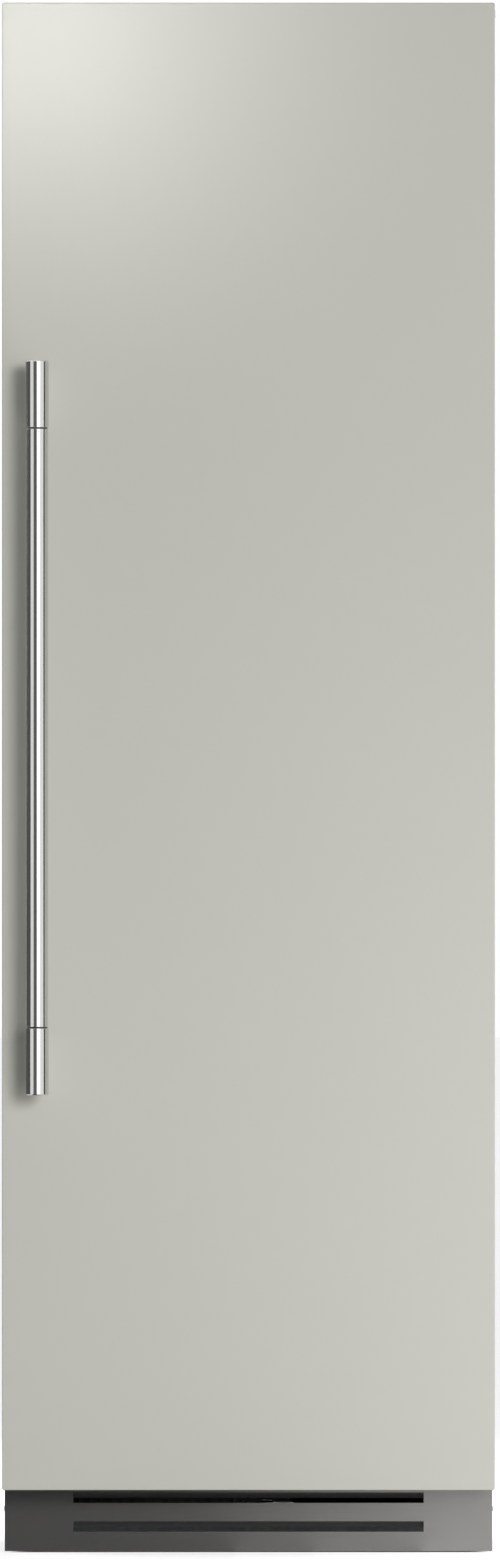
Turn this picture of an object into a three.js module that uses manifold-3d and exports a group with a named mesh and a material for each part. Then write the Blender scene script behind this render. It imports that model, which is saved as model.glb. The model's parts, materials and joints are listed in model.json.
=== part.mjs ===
// A column freezer: one tall door hinged on the right, a bar handle and a louvred toe kick.
// Lengths are in millimetres, +Z is up and the door faces -Y. While the pieces are made, x = 0 is
// the door's middle, y = 0 the door's face and z = 0 the floor.
import * as THREE from "three";
import { mergeVertices } from "three/addons/utils/BufferGeometryUtils.js";
import Module from "manifold-3d";

const wasm = await Module();
wasm.setup();

// Clearances and fine edges
const fitGap = 0.3; // between pieces that touch
const runningGap = 0.4; // round a pin that turns
const cutOverrun = 3;
const crispRadius = 0.4;
const arcSteps = 3; // facets in a quarter turn of a corner
const roundSides = 28;
const slimSides = 12;

// Door
const doorWidth = 679;
const doorHeight = 2049;
const doorThickness = 75;
const doorFloorClearance = 88.5;
const doorEdgeRadius = 2.5;
const doorCornerRadius = 3;
const skinSheet = 1.2;
const skinReturn = 58;
const doorLinerWall = 2.5;
const plateauRise = 9;
const plateauDraft = 5;
const plateauRadius = 18;
const plateauMargin = 4; // between the gasket and the plateau

// Gasket between the door and the cabinet
const gasketHeight = 15;
const gasketWidth = 20;
const gasketLip = 2;
const gasketNeck = 7;
const magnetThickness = 4.5;
const gasketSideInset = 23.5;
const gasketTopInset = 28.5;

// Cabinet
const overallDepth = 610;
const cabinetSideInset = 2.7; // of the cabinet's sides from the door's
const cabinetTopDrop = 7.5;
const cabinetSheet = 1;
const frontReturn = 42;
const rearReturn = 20;
const wallThickness = 58;
const sidePanelClearance = 22;
const machineCeiling = 205;
const compartmentFloor = 262;
const linerWall = 2.5;
const linerRadius = 24;
const backSwageDepth = 5;
const backSwageWidth = 46;
const backSwageCount = 4;

// Toe kick and its two lanced slots
const kickFloorClearance = 1.5;
const kickHeight = 92.5;
const kickSheet = 1.5;
const kickHem = 14;
const slotEndMargin = 94.8; // from the toe kick's ends to the slots
const slotHeight = 14.5;
const slotPitch = 39.8;
const lowerSlotRise = 26.8;
const slotCount = 2;
const louvreAngle = 52; // degrees from upright
const louvreLength = 13;

// Front rail below the compartment
const railSheet = 1.5;
const railReturn = 22;

// Hinges
const hingePivotInset = 21.5; // from the door's right side
const hingePivotDepth = 26; // behind the door's face
const hingeDrop = 10; // from the door's end to the hinge plate
const hingePlateThickness = 10;
const topKnuckleRadius = 22.3;
const bottomKnuckleRadius = 20.5;
const hingeArmOffset = 6; // of the arm's right edge from the pivot
const hingePinRadius = 5;
const hingePocketMargin = 3;
const hingeSlotMargin = 1;
const hingeLeafThickness = 4;
const hingeLeafWidth = 17;
const hingeLeafLength = 86;
const hingeLeafMargin = 2; // beside the gasket
const bushRadius = 9;
const bushFlangeRadius = 13;
const bushFlange = 3;
const bushLength = 24;
const bushFloor = 2;

// Bar handle
const handleInset = 48.9; // from the door's left side
const handleDrop = 494; // from the door's top
const handleLength = 1010;
const handleStandOff = 50; // from the door's face to the bar's axis
const collarRadius = 15.9;
const collarLength = 91.5;
const collarChamfer = 2.6;
const rodRadius = 15.1;
const ringRadius = 14.3;
const ringWidth = 2.4;
const spigotRadius = 8;
const spigotLength = 20;
const postRadius = 9.5;
const postFootRadius = 12;
const postFootHeight = 3;

// Door bins and the rails that they hang on
const binCount = 3;
const binHeightShares = [0.1, 0.37, 0.64];
const binHeight = 120;
const binDepth = 92;
const binWall = 2.5;
const binDraft = 4;
const binRimWidth = 7;
const binRimThickness = 3;
const binRadius = 16;
const binRailInset = 32.8; // from the compartment's sides
const binRailWidth = 22;
const binRailDepth = 50;
const binRailTaper = 7;
const binLedge = 5;
const binLedgeHeight = 10;
const binLedgeLength = 36;
const binRailEndShare = 0.04; // of the compartment's height, left free at each end

// Shelves, drawers and their ribs
const shelfFront = 195;
const shelfThickness = 6;
const shelfSideClearance = 2;
const shelfCornerRadius = 14;
const shelfHeightShares = [0.272, 0.43, 0.59, 0.745];
const ribWidth = 14;
const ribHeight = 9;
const ribDraft = 3;
const drawerCount = 2;
const drawerRimShares = [0.126, 0.25];
const drawerHeadroom = 26;
const drawerWall = 3;
const drawerDraft = 6;
const drawerRimWidth = 16;
const drawerRimThickness = 3;
const drawerRadius = 20;
const drawerFrontThickness = 5;
const drawerFrontLip = 24;
const drawerGripHeight = 24;
const drawerFrontOverlap = 12;

// Evaporator, its cover and its fan
const evaporatorSpace = 70;
const coverSheet = 3;
const coverSideClearance = 0.6;
const ventWidth = 150;
const ventHeight = 9;
const ventHeightShares = [0.2, 0.35, 0.51, 0.67];
const returnSlotCount = 11;
const returnSlotWidth = 22;
const returnSlotHeight = 46;
const returnSlotPitch = 40;
const returnSlotRise = 20;
const grilleBars = 8;
const grilleBarPitch = 13;
const evaporatorFanDrop = 96; // of the fan's axis from the ceiling
const evaporatorWidth = 420;
const evaporatorHeight = 300;
const evaporatorDepth = 46;
const evaporatorDrop = 210;
const evaporatorFinCount = 16;
const evaporatorTubeCount = 6;

// Fans
const fanRadius = 56;
const fanHubRadius = 17;
const fanHubDepth = 20;
const fanBladeCount = 5;
const fanBladeThickness = 2;
const fanRootChord = 24;
const fanTipChord = 44;
const fanRootPitch = 52; // degrees from the plane of the fan
const fanTipPitch = 24;
const fanShaftRadius = 2.5;
const fanShaftEmbedding = 15;
const fanMotorRadius = 21;
const fanMotorLength = 24;
const fanMotorGap = 4;
const fanTipClearance = 6;
const fanArmCount = 3;
const fanArmWidth = 10;
const fanArmThickness = 5;
const fanFrontGap = 4;

// Coils
const finThickness = 1.2;
const coilTubeRadius = 4;
const coilPlate = 2; // thickness of the core sheet that carries the fins

// Machine space
const panSheet = 1.5;
const panRim = 14;
const baseRailInset = 36.8; // of a rail's middle from the cabinet's side
const baseRailWidth = 36;
const baseRailHeight = 20;
const baseRailSheet = 2;
const baseRailClearance = 22.5;
const baseRailEndInset = 6;
const condenserWidth = 260;
const condenserHeight = 138;
const condenserDepth = 34;
const condenserSetback = 26;
const condenserFinCount = 18;
const condenserTubeCount = 4;
const condenserInset = 186.8; // of the condenser's middle from the cabinet's left side
const fanFrameSheet = 2;
const fanFrameWidth = 170;
const fanFrameHeight = 146;
const fanFrameSetback = 84;
const compressorSideInset = 196.8; // of its middle from the cabinet's right side
const compressorBackInset = 210; // and from the cabinet's back
const compressorLength = 214;
const compressorWidth = 150;
const compressorHeight = 136;
const compressorRadius = 66;
const compressorFoot = 3;
const compressorFootOverhang = 16;
const compressorGrommet = 9;
const compressorGrommetRadius = 9;
const compressorSeam = 3;
const compressorDomeShares = [0.45, 0.24, 0.1, 0.02];
const compressorDomeHeightShares = [0, 0.06, 0.18, 0.36];
const relayWidth = 26;
const relayLength = 52;
const relayHeight = 44;
const drainPanSideInset = 64.8; // from the cabinet's left side
const drainPanBackInset = 50; // from the cabinet's back
const drainPanCompressorGap = 47; // between the pan and the compressor's foot
const drainPanDepth = 240;
const drainPanHeight = 42;
const drainPanWall = 2;
const drainPanRadius = 18;

// Rear cover and power inlet
const coverVentColumns = 10;
const coverVentRows = 2;
const coverVentWidth = 10;
const coverVentHeight = 44;
const coverVentPitch = 30;
const coverVentRowPitch = 62;
const coverVentInset = 266.8; // of the vents' middle from the cabinet's left side
const coverFloorClearance = 10;
const coverCeilingGap = 2;
const inletInset = 86.8; // of the inlet's middle from the cabinet's right side
const inletWidth = 48;
const inletHeight = 30;
const inletBodyWidth = 29;
const inletBodyHeight = 21;
const inletBodyDepth = 22;
const inletWall = 2.5;
const inletRadius = 4;

// Legs and rollers
const legSetback = 46; // behind the cabinet's front
const legFootRadius = 20;
const legFootHeight = 8;
const legFootTopRadius = 13;
const legStemRadius = 6;
const legBossRadius = 11;
const legBossLength = 14;
const rollerRadius = 18;
const rollerWidth = 25;
const rollerEdge = 3;
const rollerBore = 4.5;
const rollerAxleRadius = 4;
const rollerSetback = 44; // in front of the cabinet's back
const rollerEarWidth = 30;
const rollerEarRise = 8;

// Ice maker, ice bin, control panel and light
const iceMakerLength = 214;
const iceMakerDepth = 130;
const iceMakerHeight = 104;
const iceMakerDrop = 118;
const iceMakerBackGap = 12;
const iceMakerChamfer = 22;
const gearboxLength = 34;
const gearboxMargin = 7;
const armPinRadius = 3;
const armPinLength = 9;
const armHubRadius = 7;
const armHubLength = 7;
const armWireRadius = 1.8;
const armReach = 62;
const armDroop = 34;
const armSpan = 186;
const armEnd = 26;
const armBend = 9;
const armPinRise = 34;
const armPinSetback = 16;
const iceBinWidth = 270;
const iceBinHeight = 140;
const iceBinWall = 3;
const iceBinDraft = 6;
const iceBinRim = 6;
const iceBinRadius = 22;
const iceBinSideGap = 4;
const panelWidth = 230;
const panelDepth = 66;
const panelHeight = 24;
const panelSetback = 20;
const panelSlope = 14;
const lightWidth = 190;
const lightDepth = 34;
const lightHeight = 8;
const lightSetback = 30;
const lightRadius = 9;

// Places worked out from the sizes above
const doorLow = doorFloorClearance;
const doorHigh = doorLow + doorHeight;
const doorRight = doorWidth / 2;
const cabinetFront = doorThickness + gasketHeight;
const cabinetRight = doorRight - cabinetSideInset;
const cabinetTop = doorHigh - cabinetTopDrop;
const sheetInside = cabinetRight - cabinetSheet - fitGap;
const compartmentRight = cabinetRight - wallThickness;
const compartmentTop = cabinetTop - wallThickness;
const compartmentHeight = compartmentTop - compartmentFloor;
const binRailOuter = compartmentRight - binRailInset;
const binRailInner = binRailOuter - binRailWidth;
const compartmentBack = overallDepth - wallThickness;
const coverFront = compartmentBack - evaporatorSpace - coverSheet;
const backPanelRear = overallDepth - cabinetSheet - fitGap;
const backPanelFront = backPanelRear - cabinetSheet;
const pivotX = doorRight - hingePivotInset;
const hingePocketDepth = hingeDrop + hingePlateThickness + bushFlange + fitGap + fitGap;
const handleX = handleInset - doorRight;
const handleTop = doorHigh - handleDrop;
const railTop = baseRailClearance + baseRailHeight;
const panBottom = railTop + fitGap;
const panTop = panBottom + panSheet;
const machineFloor = panTop + fitGap;
const degree = Math.PI / 180;
const compartmentShare = (share) => compartmentFloor + compartmentHeight * share;

// Rectangles seen from the front, as left, right, low and high
const doorFace = { left: -doorRight, right: doorRight, low: doorLow, high: doorHigh };
const compartmentFace = {
  left: -compartmentRight, right: compartmentRight, low: compartmentFloor, high: compartmentTop,
};
const gasketFace = {
  left: gasketSideInset - doorRight,
  right: doorRight - gasketSideInset,
  low: compartmentFloor + gasketTopInset - wallThickness,
  high: doorHigh - gasketTopInset,
};
const grown = (face, by) => ({
  left: face.left - by, right: face.right + by, low: face.low - by, high: face.high + by,
});

// Solids: facing out, joining and cutting
function signedVolume(position, index) {
  const [a, b, c] = [new THREE.Vector3(), new THREE.Vector3(), new THREE.Vector3()];
  let volume = 0;
  for (let i = 0; i < index.length; i += 3) {
    a.fromBufferAttribute(position, index[i]);
    b.fromBufferAttribute(position, index[i + 1]);
    c.fromBufferAttribute(position, index[i + 2]);
    volume += a.dot(b.cross(c));
  }
  return volume;
}

function facingOut(geometry) {
  const bare = new THREE.BufferGeometry();
  bare.setAttribute("position", geometry.getAttribute("position"));
  if (geometry.index) bare.setIndex(geometry.index);
  const merged = mergeVertices(bare);
  const kept = [];
  const index = merged.index.array;
  for (let i = 0; i < index.length; i += 3) {
    const [a, b, c] = [index[i], index[i + 1], index[i + 2]];
    if (a !== b && b !== c && a !== c) kept.push(a, b, c);
  }
  if (signedVolume(merged.getAttribute("position"), kept) < 0) kept.reverse();
  merged.setIndex(kept);
  return merged;
}

function solidOf(geometry) {
  const closed = facingOut(geometry);
  return new wasm.Manifold(
    new wasm.Mesh({
      numProp: 3,
      vertProperties: closed.getAttribute("position").array,
      triVerts: new Uint32Array(closed.index.array),
    }),
  );
}

function geometryOf(solid) {
  const mesh = solid.getMesh();
  const geometry = new THREE.BufferGeometry();
  geometry.setAttribute("position", new THREE.BufferAttribute(mesh.vertProperties, mesh.numProp));
  geometry.setIndex(new THREE.BufferAttribute(mesh.triVerts, 1));
  return geometry;
}

const joined = (first, ...others) =>
  geometryOf(others.reduce((sum, piece) => sum.add(solidOf(piece)), solidOf(first)));
const cut = (first, ...tools) =>
  geometryOf(tools.reduce((rest, tool) => rest.subtract(solidOf(tool)), solidOf(first)));

// Directions in which an outline is drawn and carried: [first axis, second axis, way it is carried]
const axisX = new THREE.Vector3(1, 0, 0);
const axisY = new THREE.Vector3(0, 1, 0);
const axisZ = new THREE.Vector3(0, 0, 1);
const carried = {
  x: new THREE.Matrix4().makeBasis(axisY, axisZ, axisX),
  y: new THREE.Matrix4().makeBasis(axisX, axisZ, axisY.clone().negate()),
  z: new THREE.Matrix4().makeBasis(axisX, axisY, axisZ),
};

const vectorsOf = (points) => points.map(([u, v]) => new THREE.Vector2(u, v));

// An outline carried straight along x, y or z between two places, with holes cut through it.
function prism(axis, points, from, to, holes = []) {
  const shape = new THREE.Shape(vectorsOf(points));
  const geometry = new THREE.ExtrudeGeometry(shape, { depth: to - from, bevelEnabled: false });
  geometry.applyMatrix4(carried[axis]);
  const start = axis === "y" ? to : from;
  const way = { x: axisX, y: axisY, z: axisZ }[axis];
  geometry.translate(way.x * start, way.y * start, way.z * start);
  if (!holes.length) return geometry;
  return cut(geometry, ...holes.map((hole) => prism(axis, hole, from - cutOverrun, to + cutOverrun)));
}

const rectangle = (left, right, low, high) => [[left, low], [right, low], [right, high], [left, high]];

function block(left, right, front, back, low, high) {
  return prism("z", rectangle(left, right, front, back), low, high);
}

// A turned piece: a profile of [radius, place] pairs about an axis through a centre.
function turned(axis, profile, centre = [0, 0, 0], sides = roundSides) {
  const geometry = new THREE.LatheGeometry(vectorsOf(profile), sides);
  if (axis === "x") geometry.rotateZ(-Math.PI / 2);
  if (axis === "z") geometry.rotateX(Math.PI / 2);
  return geometry.translate(...centre);
}

const rod = (axis, radius, from, to, centre, sides) =>
  turned(axis, [[0, from], [radius, from], [radius, to], [0, to]], centre, sides);

// The points of a rounded rectangle, against the clock from its lower left corner.
function roundedLoop({ left, right, low, high }, radius) {
  const corners = [
    [left + radius, low + radius, 2],
    [right - radius, low + radius, 3],
    [right - radius, high - radius, 0],
    [left + radius, high - radius, 1],
  ];
  return corners.flatMap(([u, v, quarter]) =>
    Array.from({ length: arcSteps + 1 }, (_, step) => {
      const angle = ((quarter + step / arcSteps) * Math.PI) / 2;
      return [u + radius * Math.cos(angle), v + radius * Math.sin(angle)];
    }),
  );
}

// A closed surface through rings of as many points each, capped at both ends or run in a circle.
function lofted(rings, circular = false) {
  const count = rings[0].length;
  const corner = (ring, point) => (ring % rings.length) * count + (point % count);
  const triangles = [];
  const spans = circular ? rings.length : rings.length - 1;
  for (let ring = 0; ring < spans; ring++) {
    for (let point = 0; point < count; point++) {
      const near = [corner(ring, point), corner(ring, point + 1)];
      const far = [corner(ring + 1, point), corner(ring + 1, point + 1)];
      triangles.push(near[0], near[1], far[1], near[0], far[1], far[0]);
    }
  }
  for (let point = 1; point < count - 1 && !circular; point++) {
    const last = rings.length - 1;
    triangles.push(corner(0, 0), corner(0, point + 1), corner(0, point));
    triangles.push(corner(last, 0), corner(last, point), corner(last, point + 1));
  }
  const geometry = new THREE.BufferGeometry();
  const positions = rings.flat().flatMap((point) => point.toArray());
  geometry.setAttribute("position", new THREE.Float32BufferAttribute(positions, 3));
  geometry.setIndex(triangles);
  return facingOut(geometry);
}

// Rounded rectangles stacked up z, or seen from the front and stacked back along y.
const levelled = {
  y: ([u, v], place) => new THREE.Vector3(u, place, v),
  z: ([u, v], place) => new THREE.Vector3(u, v, place),
};

function stacked(axis, levels, circular = false) {
  const rings = levels.map(({ face, radius, at }) =>
    roundedLoop(face, Math.max(radius, crispRadius)).map((point) => levelled[axis](point, at)),
  );
  return lofted(rings, circular);
}

// An open tub with drafted walls, a rim that stands out and a flat floor.
function tub(face, radius, low, high, { wall, draft, rim, rimThickness }) {
  const foot = grown(face, -rim - draft);
  const body = grown(face, -rim);
  return stacked("z", [
    { face: foot, radius: radius - rim, at: low },
    { face: body, radius: radius - rim, at: high - rimThickness },
    { face, radius, at: high - rimThickness },
    { face, radius, at: high },
    { face: grown(body, -wall), radius: radius - rim - wall, at: high },
    { face: grown(foot, -wall), radius: radius - rim - wall, at: low + wall },
  ]);
}

// A wire or tube through a list of points, with one ring of sides at each point.
class WirePath extends THREE.Curve {
  constructor(points) {
    super();
    this.points = points.map(([x, y, z]) => new THREE.Vector3(x, y, z));
  }
  getPointAt(share, target = new THREE.Vector3()) {
    const place = Math.min(share, 1) * (this.points.length - 1);
    const before = Math.min(Math.floor(place), this.points.length - 2);
    return target.lerpVectors(this.points[before], this.points[before + 1], place - before);
  }
  getTangentAt(share, target = new THREE.Vector3()) {
    const place = Math.round(share * (this.points.length - 1));
    const before = this.points[Math.max(place - 1, 0)];
    const after = this.points[Math.min(place + 1, this.points.length - 1)];
    return target.subVectors(after, before).normalize();
  }
}

function wire(points, radius, sides = slimSides / 2) {
  const section = Array.from({ length: sides }, (_, side) => {
    const angle = (side / sides) * Math.PI * 2;
    return [radius * Math.cos(angle), radius * Math.sin(angle)];
  });
  return new THREE.ExtrudeGeometry(new THREE.Shape(vectorsOf(section)), {
    steps: points.length - 1,
    extrudePath: new WirePath(points),
  });
}

// Finishes
const finishes = {
  doorSteel: ["#bcbcb4", 0.42, 0.35],
  polishedSteel: ["#c9c9c9", 0.18, 1],
  blackRubber: ["#1d1d1e", 0.85, 0],
  graphiteSheet: ["#4b4b4c", 0.42, 0.8],
  galvanised: ["#9fa2a4", 0.5, 0.8],
  blackSteel: ["#232425", 0.5, 0.6],
  whitePlastic: ["#e9ebec", 0.45, 0],
  greyPlastic: ["#a9adb0", 0.55, 0],
  blackPlastic: ["#202224", 0.5, 0],
  clearPlastic: ["#dfe8ec", 0.12, 0],
  foam: ["#d9c795", 0.9, 0],
  glass: ["#dcebe8", 0.05, 0],
  aluminium: ["#c3c7ca", 0.35, 0.9],
  panelGlass: ["#101214", 0.1, 0],
  gasketGrey: ["#b7babb", 0.7, 0],
};

function piece(group, name, finish, geometry, place = [0, 0, 0]) {
  const [color, roughness, metalness] = finishes[finish];
  const material = new THREE.MeshStandardMaterial({ color, roughness, metalness });
  const mesh = new THREE.Mesh(facingOut(geometry), material);
  mesh.name = name;
  mesh.position.set(...place);
  group.add(mesh);
}

// Door: skin, core and liner, with a pocket at each hinge corner
function roundedEdge(face, radius, bend, at) {
  return Array.from({ length: arcSteps + 1 }, (_, step) => {
    const angle = (step / arcSteps) * (Math.PI / 2);
    const inset = bend * (1 - Math.sin(angle));
    return { face: grown(face, -inset), radius: radius - inset, at: at + bend * (1 - Math.cos(angle)) };
  });
}

const hingeEnds = [
  { end: "top", edge: doorHigh, inwards: -1, knuckle: topKnuckleRadius },
  { end: "bottom", edge: doorLow, inwards: 1, knuckle: bottomKnuckleRadius },
];

const ordered = (a, b) => [Math.min(a, b), Math.max(a, b)];

function hingePocket({ edge, inwards }, front, back) {
  const left = pivotX - topKnuckleRadius - hingePocketMargin;
  const [low, high] = ordered(edge - inwards * cutOverrun, edge + inwards * hingePocketDepth);
  return block(left, doorRight + cutOverrun, front, back, low, high);
}

function hingeSlot({ edge, inwards }) {
  const near = edge + inwards * (hingeDrop - hingeSlotMargin);
  const far = edge + inwards * (hingeDrop + hingePlateThickness + hingeSlotMargin);
  const inside = doorRight - skinSheet - cutOverrun;
  const front = skinSheet + doorEdgeRadius;
  return block(inside, doorRight + cutOverrun, front, skinReturn + cutOverrun, ...ordered(near, far));
}

function doorSkin() {
  const inside = grown(doorFace, -skinSheet);
  const tray = stacked("y", [
    ...roundedEdge(doorFace, doorCornerRadius, doorEdgeRadius, 0),
    { face: doorFace, radius: doorCornerRadius, at: skinReturn },
    { face: inside, radius: doorCornerRadius - skinSheet, at: skinReturn },
    { face: inside, radius: doorCornerRadius - skinSheet, at: skinSheet },
  ]);
  return cut(tray, ...hingeEnds.map(hingeSlot));
}

function doorCore() {
  const face = grown(doorFace, -skinSheet - fitGap);
  const back = doorThickness - doorLinerWall - fitGap;
  const slab = stacked("y", [
    { face, radius: doorCornerRadius - skinSheet, at: skinSheet + fitGap },
    { face, radius: doorCornerRadius - skinSheet, at: skinReturn - fitGap },
    { face: grown(face, -doorLinerWall), radius: crispRadius, at: skinReturn - fitGap },
    { face: grown(face, -doorLinerWall), radius: crispRadius, at: back },
  ]);
  const bores = hingeEnds.map(({ edge, inwards }) => {
    const mouth = edge + inwards * (hingePocketDepth - cutOverrun);
    const floor = edge + inwards * (hingePocketDepth + bushLength + fitGap);
    return rod("z", bushRadius + fitGap, ...ordered(mouth, floor), [pivotX, hingePivotDepth, 0]);
  });
  return cut(slab, ...hingeEnds.map((end) => hingePocket(end, 0, doorThickness)), ...bores);
}

function doorLiner() {
  const inside = grown(doorFace, -doorLinerWall);
  const rim = skinReturn + fitGap;
  const seat = doorThickness - doorLinerWall;
  const plateau = grown(gasketFace, -gasketWidth - plateauMargin);
  const raised = grown(plateau, -plateauDraft);
  const hollow = grown(plateau, -doorLinerWall);
  const hollowRaised = grown(raised, -doorLinerWall);
  const tray = stacked("y", [
    { face: hollowRaised, radius: plateauRadius - doorLinerWall, at: seat + plateauRise },
    { face: hollow, radius: plateauRadius - doorLinerWall, at: seat },
    { face: inside, radius: doorCornerRadius, at: seat },
    { face: inside, radius: doorCornerRadius, at: rim },
    { face: doorFace, radius: doorCornerRadius, at: rim },
    { face: doorFace, radius: doorCornerRadius, at: doorThickness - doorEdgeRadius },
    { face: grown(doorFace, -doorEdgeRadius), radius: crispRadius, at: doorThickness },
    { face: plateau, radius: plateauRadius, at: doorThickness },
    { face: raised, radius: plateauRadius, at: doorThickness + plateauRise },
  ]);
  return cut(tray, ...hingeEnds.map((end) => hingePocket(end, 0, doorThickness + cutOverrun)));
}

// Gasket: a bellows with a magnet strip, run round the door as one mitred frame
function doorGasket() {
  const foot = doorThickness + fitGap;
  const face = cabinetFront - fitGap;
  const neck = (gasketWidth - gasketNeck) / 2;
  const section = [
    [0, foot],
    [0, foot + gasketLip],
    [neck, foot + gasketLip],
    [neck - gasketLip, (foot + face) / 2],
    [neck - gasketLip, face - magnetThickness],
    [gasketLip, face - magnetThickness],
    [gasketLip, face],
    [gasketWidth - gasketLip, face],
    [gasketWidth - gasketLip, face - magnetThickness],
    [gasketWidth - neck + gasketLip, face - magnetThickness],
    [gasketWidth - neck + gasketLip, (foot + face) / 2],
    [gasketWidth - neck, foot + gasketLip],
    [gasketWidth, foot + gasketLip],
    [gasketWidth, foot],
  ];
  const levels = section.map(([inset, at]) => {
    const face = grown(gasketFace, -inset);
    return { face, radius: crispRadius, at };
  });
  return stacked("y", levels, true);
}

// Rails on the door liner, with a ledge under each bin's rim
const plateauFace = doorThickness + plateauRise + fitGap;
const binTops = binHeightShares.map((share) => compartmentShare(share) + binHeight);
const binUnderside = (top) => top - binRimThickness - fitGap;

function binRail(side) {
  const [inner, outer] = [binRailInner, binRailOuter];
  const low = compartmentShare(binRailEndShare);
  const high = compartmentShare(1 - binRailEndShare);
  const section = [
    [side * inner, plateauFace],
    [side * outer, plateauFace],
    [side * (outer - binRailTaper), plateauFace + binRailDepth - binRailTaper],
    [side * (outer - 2 * binRailTaper), plateauFace + binRailDepth],
    [side * inner, plateauFace + binRailDepth],
  ];
  const ledges = binTops.map((top) => {
    const seat = binUnderside(top);
    const ledge = [
      [side * (inner + binLedge), seat - binLedgeHeight],
      [side * (inner + binLedge), seat],
      [side * (inner - binLedge), seat],
      [side * (inner - binLedge), seat - binLedge],
      [side * inner, seat - binLedgeHeight],
    ];
    return prism("y", ledge, plateauFace + fitGap, plateauFace + fitGap + binLedgeLength);
  });
  return joined(prism("z", section, low, high), ...ledges);
}

function doorBin() {
  const face = {
    left: fitGap - binRailInner,
    right: binRailInner - fitGap,
    low: plateauFace + fitGap,
    high: plateauFace + fitGap + binDepth,
  };
  return tub(face, binRadius, -binHeight, 0, {
    wall: binWall, draft: binDraft, rim: binRimWidth, rimThickness: binRimThickness,
  });
}

// Handle: a rod between two mounts, with a black ring at each joint. A mount is drawn from its
// outer end at z = 0 inwards, and the bar's axis is at y = 0.
function handleMount(inwards) {
  const collar = turned("z", [
    [0, 0],
    [collarRadius - collarChamfer, 0],
    [collarRadius - collarChamfer / 3, (inwards * collarChamfer) / 3],
    [collarRadius, inwards * collarChamfer],
    [collarRadius, inwards * (collarLength - crispRadius)],
    [collarRadius - crispRadius, inwards * collarLength],
    [0, inwards * collarLength],
  ]);
  const foot = handleStandOff - fitGap;
  const post = turned("y", [
    [0, 0],
    [postRadius, 0],
    [postRadius, foot - postFootHeight],
    [postFootRadius, foot - postFootHeight / 2],
    [postFootRadius, foot],
    [0, foot],
  ], [0, 0, (inwards * collarLength) / 2]);
  const mouth = inwards * (collarLength + cutOverrun);
  const floor = inwards * (collarLength - spigotLength);
  const socket = rod("z", spigotRadius + fitGap, ...ordered(floor, mouth));
  return cut(joined(collar, post), socket);
}

function handleRod() {
  const reach = handleLength / 2 - collarLength;
  const shoulder = reach - ringWidth;
  const tip = reach + spigotLength - fitGap;
  return turned("z", [
    [0, -tip],
    [spigotRadius, -tip],
    [spigotRadius, -shoulder],
    [rodRadius, -shoulder],
    [rodRadius, shoulder],
    [spigotRadius, shoulder],
    [spigotRadius, tip],
    [0, tip],
  ]);
}

function handleRing() {
  const half = ringWidth / 2 - fitGap;
  const bore = spigotRadius + fitGap;
  return turned("z", [[bore, -half], [ringRadius, -half], [ringRadius, half], [bore, half], [bore, -half]]);
}

// Hinges: a plate with a knuckle, an arm back to the cabinet, a leaf that is screwed to the cabinet
// and a pin. The plate is drawn about its pivot, with z = 0 at its face nearest the door's end.
function hingePlate({ inwards, knuckle }) {
  const seat = cabinetFront - fitGap - hingePivotDepth;
  const sweep = Math.PI + Math.acos(hingeArmOffset / knuckle);
  const round = Array.from({ length: roundSides + 1 }, (_, step) => {
    const angle = Math.PI + (sweep * step) / roundSides;
    return [knuckle * Math.cos(angle), knuckle * Math.sin(angle)];
  });
  const outline = [[-knuckle, seat], ...round, [hingeArmOffset, seat]];
  const arm = prism("z", outline, ...ordered(0, inwards * hingePlateThickness));
  const leafLeft = doorRight - gasketSideInset + hingeLeafMargin - pivotX;
  const leaf = block(leafLeft, leafLeft + hingeLeafWidth, seat - hingeLeafThickness, seat,
    ...ordered(0, inwards * hingeLeafLength));
  const tip = inwards * (hingePocketDepth + bushLength - bushFloor - fitGap - hingeDrop);
  return joined(arm, leaf, rod("z", hingePinRadius, ...ordered(0, tip)));
}

function hingeBush(inwards) {
  const bore = hingePinRadius + runningGap;
  const along = ([radius, place]) => [radius, inwards * place];
  const seat = hingePocketDepth - fitGap;
  const tip = hingePocketDepth + bushLength;
  return turned("z", [
    [bore, seat - bushFlange],
    [bushFlangeRadius, seat - bushFlange],
    [bushFlangeRadius, seat],
    [bushRadius, seat],
    [bushRadius, tip],
    [0, tip],
    [0, tip - bushFloor],
    [bore, tip - bushFloor],
    [bore, seat - bushFlange],
  ].map(along), [0, 0, 0], slimSides + slimSides / 2);
}

function buildDoor(group) {
  piece(group, "door_skin", "doorSteel", doorSkin());
  piece(group, "door_core", "foam", doorCore());
  piece(group, "door_liner", "whitePlastic", doorLiner());
  piece(group, "door_gasket", "gasketGrey", doorGasket());
  piece(group, "bin_rail_left", "whitePlastic", binRail(-1));
  piece(group, "bin_rail_right", "whitePlastic", binRail(1));
  for (let index = 0; index < binCount; index++)
    piece(group, `door_bin_${index + 1}`, "clearPlastic", doorBin(), [0, 0, binTops[index]]);
  for (const { end, edge, inwards } of hingeEnds)
    piece(group, `hinge_bush_${end}`, "blackPlastic", hingeBush(inwards), [pivotX, hingePivotDepth, edge]);
  buildHandle(group);
}

function buildHandle(group) {
  const middle = handleTop - handleLength / 2;
  const ringPlace = handleLength / 2 - collarLength - ringWidth / 2;
  piece(group, "handle_rod", "polishedSteel", handleRod(), [handleX, -handleStandOff, middle]);
  for (const [end, outwards] of [["top", 1], ["bottom", -1]]) {
    const tip = [handleX, -handleStandOff, middle + (outwards * handleLength) / 2];
    const ring = [handleX, -handleStandOff, middle + outwards * ringPlace];
    piece(group, `handle_mount_${end}`, "polishedSteel", handleMount(-outwards), tip);
    piece(group, `handle_ring_${end}`, "blackRubber", handleRing(), ring);
  }
}

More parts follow.
